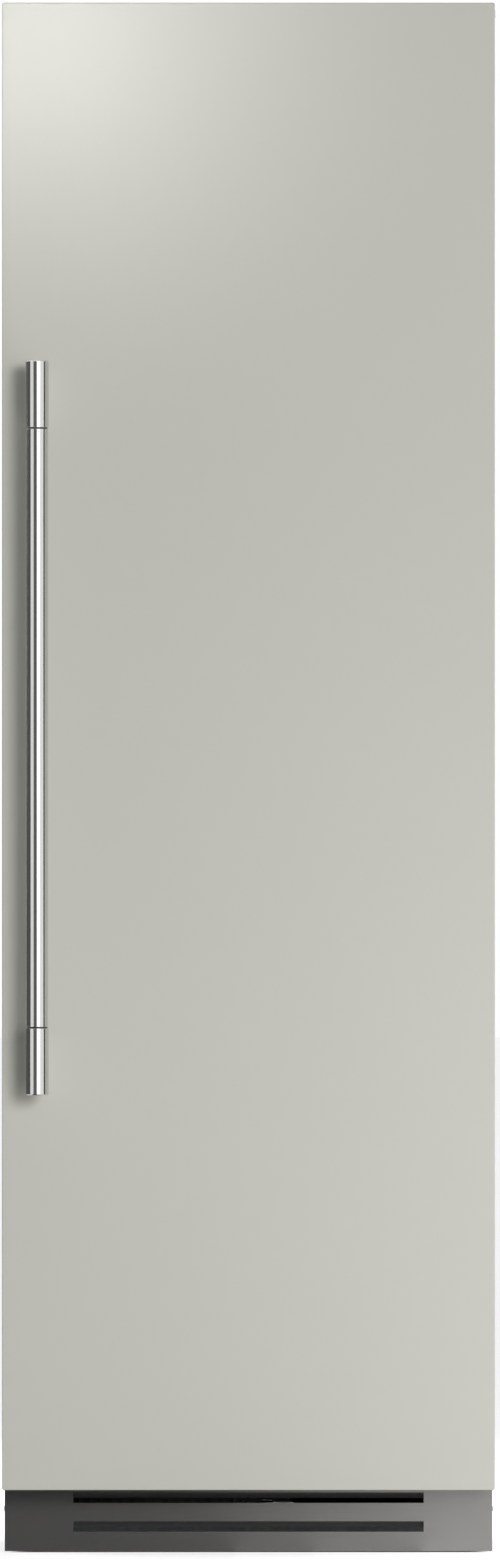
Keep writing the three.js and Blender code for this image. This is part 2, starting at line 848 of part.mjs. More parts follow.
// Cabinet: folded sheet panels round slabs of insulation, and a liner that makes the compartment
function sidePanel(side) {
  const outer = side * cabinetRight;
  const inner = side * (cabinetRight - cabinetSheet);
  const section = [
    [outer, cabinetFront],
    [outer, overallDepth],
    [side * (cabinetRight - rearReturn), overallDepth],
    [side * (cabinetRight - rearReturn), overallDepth - cabinetSheet],
    [inner, overallDepth - cabinetSheet],
    [inner, cabinetFront + cabinetSheet],
    [side * (cabinetRight - frontReturn), cabinetFront + cabinetSheet],
    [side * (cabinetRight - frontReturn), cabinetFront],
  ];
  return prism("z", section, sidePanelClearance, cabinetTop - cabinetSheet - fitGap);
}

function topPanel() {
  const front = cabinetRight - frontReturn - fitGap;
  const rear = cabinetRight - rearReturn - fitGap;
  const [frontInside, rearInside] = [cabinetFront + cabinetSheet, overallDepth - cabinetSheet];
  const high = cabinetTop;
  const plate = block(-cabinetRight, cabinetRight, cabinetFront, overallDepth, high - cabinetSheet, high);
  const frontEdge = block(-front, front, cabinetFront, frontInside, high - frontReturn, high);
  const rearEdge = block(-rear, rear, rearInside, overallDepth, high - rearReturn, high);
  return joined(plate, frontEdge, rearEdge);
}

function backPanel() {
  const pitch = (2 * sheetInside) / backSwageCount;
  const line = (rear) => [
    [-sheetInside, rear],
    ...Array.from({ length: backSwageCount }, (_, index) => {
      const centre = pitch * (index + 1 / 2) - sheetInside;
      const half = backSwageWidth / 2;
      return [
        [centre - half, rear],
        [centre - half + backSwageDepth, rear - backSwageDepth],
        [centre + half - backSwageDepth, rear - backSwageDepth],
        [centre + half, rear],
      ];
    }).flat(),
    [sheetInside, rear],
  ];
  const section = [...line(backPanelFront), ...line(backPanelRear).reverse()];
  return prism("z", section, machineCeiling, cabinetTop - cabinetSheet - fitGap);
}

function slotHoles(columns, rows, width, height, pitch, rowPitch, centreX, centreZ) {
  const holes = [];
  for (let row = 0; row < rows; row++) {
    for (let column = 0; column < columns; column++) {
      const x = centreX + (column - (columns - 1) / 2) * pitch;
      const z = centreZ + (row - (rows - 1) / 2) * rowPitch;
      holes.push(rectangle(x - width / 2, x + width / 2, z - height / 2, z + height / 2));
    }
  }
  return holes;
}

const serviceCentre = (machineFloor + machineCeiling) / 2;
const inletCentre = cabinetRight - inletInset;
const inletFace = (width, height) => ({
  left: inletCentre - width / 2, right: inletCentre + width / 2,
  low: serviceCentre - height / 2, high: serviceCentre + height / 2,
});

function rearServiceCover() {
  const high = machineCeiling - coverCeilingGap;
  const outline = rectangle(-sheetInside, sheetInside, coverFloorClearance, high);
  const ventCentre = coverVentInset - cabinetRight;
  const vents = slotHoles(coverVentColumns, coverVentRows, coverVentWidth, coverVentHeight, coverVentPitch,
    coverVentRowPitch, ventCentre, serviceCentre);
  const inlet = roundedLoop(grown(inletFace(inletBodyWidth, inletBodyHeight), fitGap), inletRadius);
  return prism("y", outline, backPanelFront, backPanelRear, [...vents, inlet]);
}

function powerInlet() {
  const flange = inletFace(inletWidth, inletHeight);
  const body = inletFace(inletBodyWidth, inletBodyHeight);
  const hollow = grown(body, -inletWall);
  const seat = backPanelRear + fitGap;
  return stacked("y", [
    { face: hollow, radius: inletRadius - inletWall, at: seat - inletBodyDepth + inletWall },
    { face: hollow, radius: inletRadius - inletWall, at: overallDepth },
    { face: flange, radius: inletRadius, at: overallDepth },
    { face: flange, radius: inletRadius, at: seat },
    { face: body, radius: inletRadius, at: seat },
    { face: body, radius: inletRadius, at: seat - inletBodyDepth },
  ]);
}

function frontRail() {
  const half = cabinetRight - frontReturn - fitGap;
  const low = kickFloorClearance + kickHeight + fitGap;
  const high = compartmentFloor - wallThickness + frontReturn;
  const section = [
    [cabinetFront, low],
    [cabinetFront + railReturn, low],
    [cabinetFront + railReturn, low + railSheet],
    [cabinetFront + railSheet, low + railSheet],
    [cabinetFront + railSheet, high],
    [cabinetFront, high],
  ];
  return prism("x", section, -half, half);
}

// Slabs of insulation between the sheet and the liner
const slab = {
  front: cabinetFront + linerWall + fitGap,
  back: backPanelFront - backSwageDepth - fitGap,
  rearFront: compartmentBack + linerWall + fitGap,
  side: compartmentRight + linerWall + fitGap,
  top: cabinetTop - cabinetSheet - fitGap,
  ceiling: compartmentTop + linerWall + fitGap,
  floor: compartmentFloor - linerWall - fitGap,
};

function buildInsulation(group) {
  const { front, back, rearFront, side, top, ceiling, floor } = slab;
  const across = side - fitGap;
  const behind = rearFront - fitGap;
  const slabs = {
    left: [-sheetInside, -side, front, back, machineCeiling, top],
    right: [side, sheetInside, front, back, machineCeiling, top],
    back: [-across, across, rearFront, back, machineCeiling, top],
    top: [-across, across, front, behind, ceiling, top],
    floor: [-across, across, front, behind, machineCeiling, floor],
  };
  for (const [place, sizes] of Object.entries(slabs))
    piece(group, `insulation_${place}`, "foam", block(...sizes));
}

// The liner: one moulded shell with a flange round its mouth and the ribs that carry the shelves
const drawerRims = drawerRimShares.map(compartmentShare);
const shelfTops = shelfHeightShares.map(compartmentShare);
const ribBack = coverFront - fitGap;
const drawerPitch = drawerRims[1] - drawerRims[0];
const drawerHeight = drawerPitch - drawerHeadroom;
const drawerTubFront = shelfFront + drawerFrontLip + drawerFrontThickness + fitGap;

function linerRib(side, top, front) {
  const wall = compartmentRight;
  const section = [
    [side * (wall - ribWidth), top],
    [side * (wall + linerWall / 2), top],
    [side * (wall + linerWall / 2), top - ribHeight - ribDraft],
    [side * wall, top - ribHeight - ribDraft],
    [side * (wall - ribWidth), top - ribHeight],
  ];
  return prism("y", section, front, ribBack);
}

function innerLiner() {
  const flange = grown(compartmentFace, wallThickness - frontReturn - fitGap);
  const outside = grown(compartmentFace, linerWall);
  const shell = stacked("y", [
    { face: compartmentFace, radius: linerRadius, at: compartmentBack },
    { face: compartmentFace, radius: linerRadius, at: cabinetFront },
    { face: flange, radius: crispRadius, at: cabinetFront },
    { face: flange, radius: crispRadius, at: cabinetFront + linerWall },
    { face: outside, radius: linerRadius + linerWall, at: cabinetFront + linerWall },
    { face: outside, radius: linerRadius + linerWall, at: compartmentBack + linerWall },
  ]);
  const ribs = [
    ...shelfTops.map((top) => [top - shelfThickness - fitGap, shelfFront]),
    ...drawerRims.map((rim) => [rim - drawerRimThickness - fitGap, drawerTubFront]),
  ];
  const pairs = ribs.flatMap(([top, front]) => [-1, 1].map((side) => linerRib(side, top, front)));
  return joined(shell, ...pairs);
}

function shelf() {
  const half = compartmentRight - shelfSideClearance;
  const face = { left: -half, right: half, low: shelfFront, high: coverFront - shelfSideClearance };
  return stacked("z", [
    { face: grown(face, -crispRadius), radius: shelfCornerRadius, at: -shelfThickness },
    { face, radius: shelfCornerRadius, at: crispRadius - shelfThickness },
    { face, radius: shelfCornerRadius, at: -crispRadius },
    { face: grown(face, -crispRadius), radius: shelfCornerRadius, at: 0 },
  ]);
}

// Drawers: a clear tub that hangs by its rim on two ribs, behind a front with a grip folded over it
function drawerBox() {
  const half = compartmentRight - shelfSideClearance;
  const face = { left: -half, right: half, low: drawerTubFront, high: coverFront - shelfSideClearance };
  return tub(face, drawerRadius, -drawerHeight, 0, {
    wall: drawerWall, draft: drawerDraft, rim: drawerRimWidth, rimThickness: drawerRimThickness,
  });
}

function drawerFront() {
  const back = drawerTubFront - fitGap;
  const face = back - drawerFrontThickness;
  const nose = face - drawerFrontLip;
  const inside = nose + drawerFrontThickness;
  const round = drawerFrontThickness / 2;
  const top = drawerFrontOverlap;
  const section = [
    [back, -drawerHeight],
    [back, top],
    [nose + round, top],
    [nose, top - round],
    [nose, top - drawerGripHeight],
    [inside, top - drawerGripHeight],
    [inside, top - drawerFrontThickness],
    [face, top - drawerFrontThickness],
    [face, -drawerHeight],
  ];
  const half = compartmentRight - shelfSideClearance;
  return prism("x", section, -half, half);
}

function buildInterior(group) {
  piece(group, "inner_liner", "whitePlastic", innerLiner());
  shelfTops.forEach((top, index) => piece(group, `shelf_${index + 1}`, "glass", shelf(), [0, 0, top]));
  for (let index = 0; index < drawerCount; index++) {
    const name = ["lower", "upper"][index];
    piece(group, `drawer_box_${name}`, "clearPlastic", drawerBox(), [0, 0, drawerRims[index]]);
    piece(group, `drawer_front_${name}`, "aluminium", drawerFront(), [0, 0, drawerRims[index]]);
  }
}

// Toe kick: a sheet with a hem and two slots, each with its lanced tab folded in from the upper edge
const kickBack = cabinetFront - fitGap;
const kickFront = kickBack - kickSheet;

function toeKick() {
  const low = kickFloorClearance;
  const section = [
    [kickFront, low],
    [kickFront + kickHem, low],
    [kickFront + kickHem, low + kickSheet],
    [kickBack, low + kickSheet],
    [kickBack, low + kickHeight],
    [kickFront, low + kickHeight],
  ];
  const firstSlot = low + lowerSlotRise;
  const slots = Array.from({ length: slotCount }, (_, index) => firstSlot + index * slotPitch);
  const half = cabinetRight - slotEndMargin;
  const holes = slots.map((slotLow) =>
    block(-half, half, kickFront - cutOverrun, kickBack + cutOverrun, slotLow, slotLow + slotHeight));
  const tabs = slots.map((slotLow) => louvre(slotLow + slotHeight));
  return joined(cut(prism("x", section, -cabinetRight, cabinetRight), ...holes), ...tabs);
}

function louvre(fold) {
  const angle = louvreAngle * degree;
  const [down, back] = [Math.cos(angle), Math.sin(angle)];
  const reach = [kickFront + louvreLength * back, fold - louvreLength * down];
  const section = [
    [kickFront, fold],
    [kickFront, fold + kickSheet],
    [kickBack, fold + kickSheet],
    [reach[0] + kickSheet * down, reach[1] + kickSheet * back],
    reach,
  ];
  const half = cabinetRight - slotEndMargin - fitGap;
  return prism("x", section, -half, half);
}

// Base: a pan on two rails, levelling legs in front and rollers behind
function basePan() {
  const face = {
    left: -sheetInside, right: sheetInside,
    low: kickFront + kickHem + fitGap, high: backPanelFront - fitGap,
  };
  const inside = grown(face, -panSheet);
  return stacked("z", [
    { face: inside, radius: panSheet, at: panTop },
    { face: inside, radius: panSheet, at: panBottom + panRim },
    { face, radius: panSheet * 2, at: panBottom + panRim },
    { face, radius: panSheet * 2, at: panBottom },
  ]);
}

const legY = cabinetFront + legSetback;
const rollerY = overallDepth - rollerSetback;

function baseRail() {
  const half = baseRailWidth / 2;
  const inside = half - baseRailSheet;
  const section = [
    [-half, baseRailClearance],
    [-inside, baseRailClearance],
    [-inside, railTop - baseRailSheet],
    [inside, railTop - baseRailSheet],
    [inside, baseRailClearance],
    [half, baseRailClearance],
    [half, railTop],
    [-half, railTop],
  ];
  const front = cabinetFront + baseRailEndInset;
  const back = overallDepth - baseRailEndInset;
  const [earFront, earBack] = [rollerY - rollerEarWidth / 2, rollerY + rollerEarWidth / 2];
  const ears = [-1, 1].map((side) => {
    const sides = ordered(side * inside, side * half);
    return block(...sides, earFront, earBack, rollerEarRise, railTop);
  });
  const bossLow = railTop - legBossLength;
  const stem = legStemRadius + runningGap;
  const boss = rod("z", legBossRadius, bossLow, railTop, [0, legY, 0], slimSides * 2);
  const axle = rod("x", rollerAxleRadius, -half, half, [0, rollerY, rollerRadius], slimSides);
  const bore = rod("z", stem, bossLow - cutOverrun, railTop + cutOverrun, [0, legY, 0], slimSides);
  return cut(joined(prism("y", section, front, back), ...ears, boss, axle), bore);
}

const levellingLeg = () => turned("z", [
  [0, 0],
  [legFootRadius, 0],
  [legFootRadius, legFootHeight / 2],
  [legFootTopRadius, legFootHeight],
  [legStemRadius, legFootHeight],
  [legStemRadius, railTop],
  [0, railTop],
], [0, 0, 0], slimSides);

const roller = () => turned("x", [
  [rollerBore, -rollerWidth / 2],
  [rollerRadius - rollerEdge, -rollerWidth / 2],
  [rollerRadius, rollerEdge - rollerWidth / 2],
  [rollerRadius, rollerWidth / 2 - rollerEdge],
  [rollerRadius - rollerEdge, rollerWidth / 2],
  [rollerBore, rollerWidth / 2],
  [rollerBore, -rollerWidth / 2],
], [0, 0, 0], slimSides * 2);

function buildBase(group) {
  piece(group, "toe_kick", "graphiteSheet", toeKick());
  piece(group, "base_pan", "galvanised", basePan());
  for (const [place, side] of [["left", -1], ["right", 1]]) {
    const x = side * (cabinetRight - baseRailInset);
    piece(group, `base_rail_${place}`, "galvanised", baseRail(), [x, 0, 0]);
    piece(group, `levelling_leg_${place}`, "blackPlastic", levellingLeg(), [x, legY, 0]);
    piece(group, `rear_roller_${place}`, "blackPlastic", roller(), [x, rollerY, rollerRadius]);
  }
}

// Fans: twisted blades on a hub, turned by a motor that a spider of arms holds behind them
const bladeSectionShares = [
  [-1 / 2, 0], [-1 / 5, 1 / 2], [1 / 5, 1 / 2], [1 / 2, 0], [1 / 5, -1 / 2], [-1 / 5, -1 / 2],
];
const bladeSpanShares = [0, 1 / 3, 2 / 3, 1];

function fanBlade(turn) {
  const innermost = fanHubRadius - fanBladeThickness;
  const rings = bladeSpanShares.map((share) => {
    const radius = innermost + (fanRadius - innermost) * share;
    const chord = fanRootChord + (fanTipChord - fanRootChord) * share;
    const pitch = (fanRootPitch + (fanTipPitch - fanRootPitch) * share) * degree;
    const radial = [Math.cos(turn), Math.sin(turn)];
    return bladeSectionShares.map(([alongShare, acrossShare]) => {
      const [u, w] = [chord * alongShare, fanBladeThickness * acrossShare];
      const swing = u * Math.cos(pitch) - w * Math.sin(pitch);
      const depth = u * Math.sin(pitch) + w * Math.cos(pitch);
      const x = radius * radial[0] - swing * radial[1];
      const z = radius * radial[1] + swing * radial[0];
      return new THREE.Vector3(x, fanHubDepth / 2 + depth, z);
    });
  });
  return lofted(rings);
}

function fanRotor() {
  const nose = fanBladeThickness;
  const hub = turned("y", [
    [0, 0],
    [fanHubRadius - nose, 0],
    [fanHubRadius, nose],
    [fanHubRadius, fanHubDepth],
    [0, fanHubDepth],
  ], [0, 0, 0], slimSides * 2);
  const blades = Array.from({ length: fanBladeCount }, (_, index) =>
    fanBlade((index / fanBladeCount) * Math.PI * 2));
  const boreRadius = fanShaftRadius + runningGap;
  const [floor, mouth] = [fanHubDepth - fanShaftEmbedding - fitGap, fanHubDepth + cutOverrun];
  const bore = rod("y", boreRadius, floor, mouth, [0, 0, 0], slimSides);
  return cut(joined(hub, ...blades), bore);
}

// The carrier is drawn about the fan's axis, with y = 0 where it is fixed.
function fanCarrier() {
  const motorFront = fanFrontGap + fanHubDepth + fanMotorGap;
  const motorBack = motorFront + fanMotorLength;
  const shaftTip = motorFront - fanMotorGap - fanShaftEmbedding;
  const shaft = rod("y", fanShaftRadius, shaftTip, motorBack, [0, 0, 0], slimSides);
  const motor = rod("y", fanMotorRadius, motorFront, motorBack, [0, 0, 0], slimSides * 2);
  const inner = fanRadius + fanTipClearance;
  const outer = inner + fanArmThickness;
  const arms = Array.from({ length: fanArmCount }, (_, index) => {
    const half = fanArmWidth / 2;
    const radial = block(0, outer, motorBack - fanArmThickness, motorBack, -half, half);
    const post = block(inner, outer, 0, motorBack, -half, half);
    const turn = (index / fanArmCount) * Math.PI * 2 + Math.PI / 2;
    return joined(radial, post).rotateY(-turn);
  });
  return joined(motor, shaft, ...arms);
}

// A coil: a core sheet with fins on both faces, and bends that join its tubes at the ends
function finnedCoil(width, height, depth, fins, tubes) {
  const half = finThickness / 2;
  const span = width - finThickness;
  const places = Array.from({ length: fins }, (_, index) => span * (index / (fins - 1) - 1 / 2));
  const face = (side) => places.flatMap((x) => [
    [x - half, side * (coilPlate / 2)],
    [x - half, side * (depth / 2)],
    [x + half, side * (depth / 2)],
    [x + half, side * (coilPlate / 2)],
  ]);
  const core = prism("z", [...face(-1), ...face(1).reverse()], 0, height);
  const pitch = height / tubes;
  const bends = Array.from({ length: tubes - 1 }, (_, index) => {
    const side = index % 2 ? -1 : 1;
    const centre = pitch * (index + 1);
    const start = side * (width / 2 - finThickness);
    const turn = Array.from({ length: slimSides / 2 + 1 }, (_, step) => {
      const angle = (step / (slimSides / 2)) * Math.PI;
      const outwards = width / 2 + (pitch / 2) * Math.sin(angle);
      return [side * outwards, 0, centre - (pitch / 2) * Math.cos(angle)];
    });
    return wire([[start, 0, centre - pitch / 2], ...turn, [start, 0, centre + pitch / 2]], coilTubeRadius);
  });
  return joined(core, ...bends);
}

// Evaporator cover: vents for the cold air, a grille before the fan and return slots at the foot
const fanZ = compartmentTop - evaporatorFanDrop;

function evaporatorCover() {
  const face = grown(compartmentFace, -coverSideClearance);
  const vents = ventHeightShares.flatMap((share) =>
    slotHoles(2, 1, ventWidth, ventHeight, ventWidth * 2, 0, 0, compartmentShare(share)));
  const returns = slotHoles(returnSlotCount, 1, returnSlotWidth, returnSlotHeight, returnSlotPitch, 0, 0,
    compartmentFloor + returnSlotRise + returnSlotHeight / 2);
  const grille = Array.from({ length: grilleBars }, (_, index) => {
    const x = (index - (grilleBars - 1) / 2) * grilleBarPitch;
    const half = Math.sqrt(fanRadius * fanRadius - x * x);
    const width = grilleBarPitch / 2;
    return rectangle(x - width / 2, x + width / 2, fanZ - half, fanZ + half);
  });
  const outline = roundedLoop(face, linerRadius - coverSideClearance);
  const sheet = prism("y", outline, coverFront, coverFront + coverSheet, [...vents, ...returns, ...grille]);
  return joined(sheet, fanCarrier().translate(0, coverFront + coverSheet, fanZ));
}

function buildCooling(group) {
  piece(group, "evaporator_cover", "whitePlastic", evaporatorCover());
  const rotorY = coverFront + coverSheet + fanFrontGap;
  piece(group, "evaporator_fan", "blackPlastic", fanRotor(), [0, rotorY, fanZ]);
  const coilY = compartmentBack - fitGap - evaporatorDepth / 2;
  const coilZ = compartmentTop - evaporatorDrop - evaporatorHeight;
  const coilSize = [evaporatorWidth, evaporatorHeight, evaporatorDepth];
  const coil = finnedCoil(...coilSize, evaporatorFinCount, evaporatorTubeCount);
  piece(group, "evaporator_coil", "aluminium", coil, [0, coilY, coilZ]);
}

// Machine space: condenser, its fan, compressor and drain pan, all standing on the base pan
const compressorX = cabinetRight - compressorSideInset;

function condenserFanFrame() {
  const half = fanFrameWidth / 2;
  const centre = fanFrameHeight / 2;
  const hole = Array.from({ length: roundSides }, (_, step) => {
    const angle = (step / roundSides) * Math.PI * 2;
    const radius = fanRadius + fanTipClearance / 2;
    return [radius * Math.cos(angle), centre + radius * Math.sin(angle)];
  });
  const plate = prism("y", rectangle(-half, half, 0, fanFrameHeight), -fanFrameSheet, 0, [hole]);
  return joined(plate, fanCarrier().translate(0, 0, centre));
}

function compressor() {
  const low = compressorGrommet;
  const top = low + compressorHeight;
  const halfLength = compressorLength / 2;
  const halfWidth = compressorWidth / 2;
  const body = { left: -halfLength, right: halfLength, low: -halfWidth, high: halfWidth };
  const dome = compressorDomeShares.map((share, index) => ({
    face: grown(body, -share * halfWidth),
    radius: compressorRadius - share * halfWidth,
    rise: compressorHeight * compressorDomeHeightShares[index],
  }));
  const middle = low + compressorHeight / 2;
  const seam = grown(body, compressorSeam);
  const can = stacked("z", [
    ...dome.map(({ face, radius, rise }) => ({ face, radius, at: low + rise })),
    { face: body, radius: compressorRadius, at: middle - compressorSeam },
    { face: seam, radius: compressorRadius + compressorSeam, at: middle - compressorSeam / 2 },
    { face: seam, radius: compressorRadius + compressorSeam, at: middle + compressorSeam / 2 },
    { face: body, radius: compressorRadius, at: middle + compressorSeam },
    ...dome.map(({ face, radius, rise }) => ({ face, radius, at: top - rise })).reverse(),
  ]);
  const reach = halfLength + compressorFootOverhang;
  const foot = block(-reach, reach, -halfWidth, halfWidth, low, low + compressorFoot);
  const corners = [[-1, -1], [1, -1], [1, 1], [-1, 1]];
  const grommets = corners.map(([x, y]) => {
    const inset = compressorGrommetRadius;
    const centre = [x * (reach - inset), y * (halfWidth - inset), 0];
    return rod("z", inset, 0, low + 2 * compressorFoot, centre, slimSides);
  });
  const relayFront = -halfWidth - relayWidth / 2;
  const relay = block(-relayLength / 2, relayLength / 2, relayFront, relayFront + relayWidth,
    middle - relayHeight / 2, middle + relayHeight / 2);
  return joined(can, foot, relay, ...grommets);
}

function drainPan() {
  const left = drainPanSideInset - cabinetRight;
  const right = compressorX - compressorLength / 2 - compressorFootOverhang - drainPanCompressorGap;
  const back = overallDepth - drainPanBackInset;
  const face = { left, right, low: back - drainPanDepth, high: back };
  return tub(face, drainPanRadius, 0, drainPanHeight, {
    wall: drainPanWall, draft: drainPanWall, rim: drainPanWall, rimThickness: drainPanWall,
  });
}

function buildMachine(group) {
  const coilSize = [condenserWidth, condenserHeight, condenserDepth];
  const coil = finnedCoil(...coilSize, condenserFinCount, condenserTubeCount);
  const condenserCentre = condenserInset - cabinetRight;
  const coilY = cabinetFront + condenserSetback + condenserDepth / 2;
  piece(group, "condenser_coil", "blackSteel", coil, [condenserCentre, coilY, machineFloor]);
  const frameY = cabinetFront + fanFrameSetback;
  const frame = [condenserCentre, frameY, machineFloor];
  piece(group, "condenser_fan_frame", "blackPlastic", condenserFanFrame(), frame);
  const axle = [condenserCentre, frameY + fanFrontGap, machineFloor + fanFrameHeight / 2];
  piece(group, "condenser_fan", "blackPlastic", fanRotor(), axle);
  const compressorPlace = [compressorX, overallDepth - compressorBackInset, machineFloor];
  piece(group, "compressor", "blackSteel", compressor(), compressorPlace);
  piece(group, "drain_pan", "greyPlastic", drainPan(), [0, 0, machineFloor]);
  piece(group, "power_inlet", "blackPlastic", powerInlet());
}

// Ice maker with its shut-off arm, the bin below it, the control panel and the light
const iceMakerLow = compartmentTop - iceMakerDrop - iceMakerHeight;
const iceMakerBack = coverFront - iceMakerBackGap;
const iceMakerFront = iceMakerBack - iceMakerDepth;
const gearboxRight = fitGap + iceMakerLength + gearboxLength - compartmentRight;
const armPivot = [gearboxRight, iceMakerFront + armPinSetback, iceMakerLow + armPinRise];

function chamferedSection(front, back, low, high, chamfer) {
  return [
    [back, low],
    [back, high],
    [front + chamfer, high],
    [front, high - chamfer],
    [front, low + chamfer],
    [front + chamfer, low],
  ];
}

function iceMaker() {
  const high = iceMakerLow + iceMakerHeight;
  const left = fitGap - compartmentRight;
  const margin = gearboxMargin;
  const [boxFront, boxLow, boxHigh] = [iceMakerFront - margin, iceMakerLow - margin, high + margin];
  const mould = chamferedSection(iceMakerFront, iceMakerBack, iceMakerLow, high, iceMakerChamfer);
  const gearbox = chamferedSection(boxFront, iceMakerBack, boxLow, boxHigh, margin);
  const housing = prism("x", mould, left, left + iceMakerLength + margin);
  const box = prism("x", gearbox, left + iceMakerLength, gearboxRight);
  const pinSeat = [0, armPivot[1], armPivot[2]];
  const pin = rod("x", armPinRadius, gearboxRight - margin, gearboxRight + armPinLength, pinSeat, slimSides);
  return joined(housing, box, pin);
}

// The arm is drawn about its pivot: out of the hub, forwards and down, then across before the mould.
function shutOffArm() {
  const start = armHubLength / 2 + fitGap;
  const foot = start + armBend;
  const front = -armReach;
  const far = start - armSpan;
  const points = [
    [start, -armHubRadius + armWireRadius, 0],
    [start, front / 2, -armDroop / 2],
    [start, front + armBend / 2, -armDroop + armBend / 4],
    [start - armBend / 4, front + armBend / 8, -armDroop + armBend / 16],
    [start - armBend, front, -armDroop],
    [far + armBend, front, -armDroop],
    [far + armBend / 4, front + armBend / 8, -armDroop + armBend / 16],
    [far, front + armBend / 2, -armDroop + armBend / 4],
    [far, front + armEnd, -armDroop + armEnd / 2],
  ];
  const hub = rod("x", armHubRadius, fitGap, fitGap + armHubLength, [0, 0, 0], slimSides * 2);
  const bore = rod("x", armPinRadius + runningGap, -cutOverrun, foot + cutOverrun, [0, 0, 0], slimSides);
  return joined(cut(hub, bore), wire(points, armWireRadius));
}

function iceBin() {
  const left = iceBinSideGap - compartmentRight;
  const face = {
    left, right: left + iceBinWidth,
    low: shelfFront + iceBinSideGap, high: coverFront - shelfSideClearance - iceBinSideGap,
  };
  return tub(face, iceBinRadius, fitGap, iceBinHeight, {
    wall: iceBinWall, draft: iceBinDraft, rim: iceBinRim, rimThickness: iceBinWall,
  });
}

function controlPanel() {
  const front = cabinetFront + panelSetback;
  const back = front + panelDepth;
  const high = compartmentTop - fitGap;
  const low = compartmentTop - panelHeight;
  const section = [
    [front, high],
    [front, high - panelHeight / 3],
    [front + panelSlope, low],
    [back, low],
    [back, high],
  ];
  return prism("x", section, -panelWidth / 2, panelWidth / 2);
}

function ceilingLight() {
  const front = cabinetFront + panelSetback + panelDepth + lightSetback;
  const half = lightWidth / 2;
  const face = { left: -half, right: half, low: front, high: front + lightDepth };
  return stacked("z", [
    { face: grown(face, -lightHeight / 2), radius: lightRadius, at: compartmentTop - lightHeight },
    { face, radius: lightRadius, at: compartmentTop - lightHeight / 2 },
    { face, radius: lightRadius, at: compartmentTop - fitGap },
  ]);
}

function buildFittings(group) {
  piece(group, "ice_maker", "greyPlastic", iceMaker());
  piece(group, "ice_maker_arm", "galvanised", shutOffArm(), armPivot);
  piece(group, "ice_bin", "clearPlastic", iceBin(), [0, 0, shelfTops.at(-1)]);
  piece(group, "control_panel", "panelGlass", controlPanel());
  piece(group, "ceiling_light", "whitePlastic", ceilingLight());
}

function buildCabinet(group) {
  piece(group, "side_panel_left", "graphiteSheet", sidePanel(-1));
  piece(group, "side_panel_right", "graphiteSheet", sidePanel(1));
  piece(group, "top_panel", "galvanised", topPanel());
  piece(group, "back_panel", "galvanised", backPanel());
  piece(group, "rear_service_cover", "galvanised", rearServiceCover());
  piece(group, "front_rail", "graphiteSheet", frontRail());
  for (const end of hingeEnds) {
    const pivot = [pivotX, hingePivotDepth, end.edge + end.inwards * hingeDrop];
    piece(group, `hinge_plate_${end.end}`, "blackSteel", hingePlate(end), pivot);
  }
}

// The whole freezer, stood with the middle of its base on the origin
const root = new THREE.Group();
const cabinet = new THREE.Group();
const door = new THREE.Group();
root.add(cabinet, door);
buildDoor(door);
buildCabinet(cabinet);
buildInsulation(cabinet);
buildInterior(cabinet);
buildCooling(cabinet);
buildFittings(cabinet);
buildBase(cabinet);
buildMachine(cabinet);

const bounds = new THREE.Box3().setFromObject(root);
const centre = bounds.getCenter(new THREE.Vector3());
root.position.set(-centre.x, -centre.y, -bounds.min.z);

export default root;
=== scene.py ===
"""A column freezer: surfaces, finishes, light and camera, laid out as an add-on for Blender 4.5.

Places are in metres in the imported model's frame: +Z is up and the door faces -Y."""

import json
import math

import bpy
import numpy as np
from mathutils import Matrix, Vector


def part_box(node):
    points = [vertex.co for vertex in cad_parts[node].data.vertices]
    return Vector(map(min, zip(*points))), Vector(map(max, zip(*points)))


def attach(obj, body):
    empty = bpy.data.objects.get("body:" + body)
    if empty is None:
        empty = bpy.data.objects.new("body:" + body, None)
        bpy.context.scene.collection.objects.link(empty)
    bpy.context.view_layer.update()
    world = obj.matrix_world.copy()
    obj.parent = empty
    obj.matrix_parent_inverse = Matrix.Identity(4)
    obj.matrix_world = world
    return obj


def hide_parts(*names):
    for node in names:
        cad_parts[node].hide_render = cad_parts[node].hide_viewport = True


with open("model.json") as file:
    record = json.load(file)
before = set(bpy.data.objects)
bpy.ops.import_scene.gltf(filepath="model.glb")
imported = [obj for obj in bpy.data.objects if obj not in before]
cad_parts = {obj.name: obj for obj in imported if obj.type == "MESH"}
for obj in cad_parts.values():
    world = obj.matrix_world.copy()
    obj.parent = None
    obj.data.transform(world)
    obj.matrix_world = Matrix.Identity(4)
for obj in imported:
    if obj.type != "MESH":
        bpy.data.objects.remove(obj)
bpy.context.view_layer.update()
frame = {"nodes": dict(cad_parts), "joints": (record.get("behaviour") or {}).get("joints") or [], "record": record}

bl_info = {
    "name": "Column Freezer",
    "version": (1, 0, 0),
    "blender": (4, 5, 0),
    "location": "3D View > Sidebar > Freezer",
    "description": "Builds the surfaces, finishes, light and camera of a column freezer",
    "category": "Add Mesh",
}

NODES = frame["nodes"]
BODY_OF = {node: body for body, nodes in frame["record"]["behaviour"]["bodies"].items() for node in nodes}
MM = 0.001
HOLD = 0.3 * MM  # from a bend to the row of points that keeps the flat beside it flat
HOLD_SHARE = 0.2  # the most of a short straight that a hold takes up
POLE = 1e-3  # how near to its pole a rounded corner comes, as a share of its radius
CORNER_STEPS = 8
FILLET_STEPS = 5
SIDES = 64
FINE_SIDES = 96
SHARP_ANGLE = 38
FULL_TURN = 2 * np.pi
QUARTER = np.pi / 2
LEFT, RIGHT, FRONT, BACK, BOTTOM, TOP = range(6)  # the sides of a box, in the order of sides_of
FROM_FRONT = [LEFT, RIGHT, BOTTOM, TOP]
FROM_ABOVE = [LEFT, RIGHT, FRONT, BACK]
BINS, SHELVES = (1, 2, 3), (1, 2, 3, 4)
TUB_RIM = 3.3 * MM  # from a tub's top down to what carries its rim
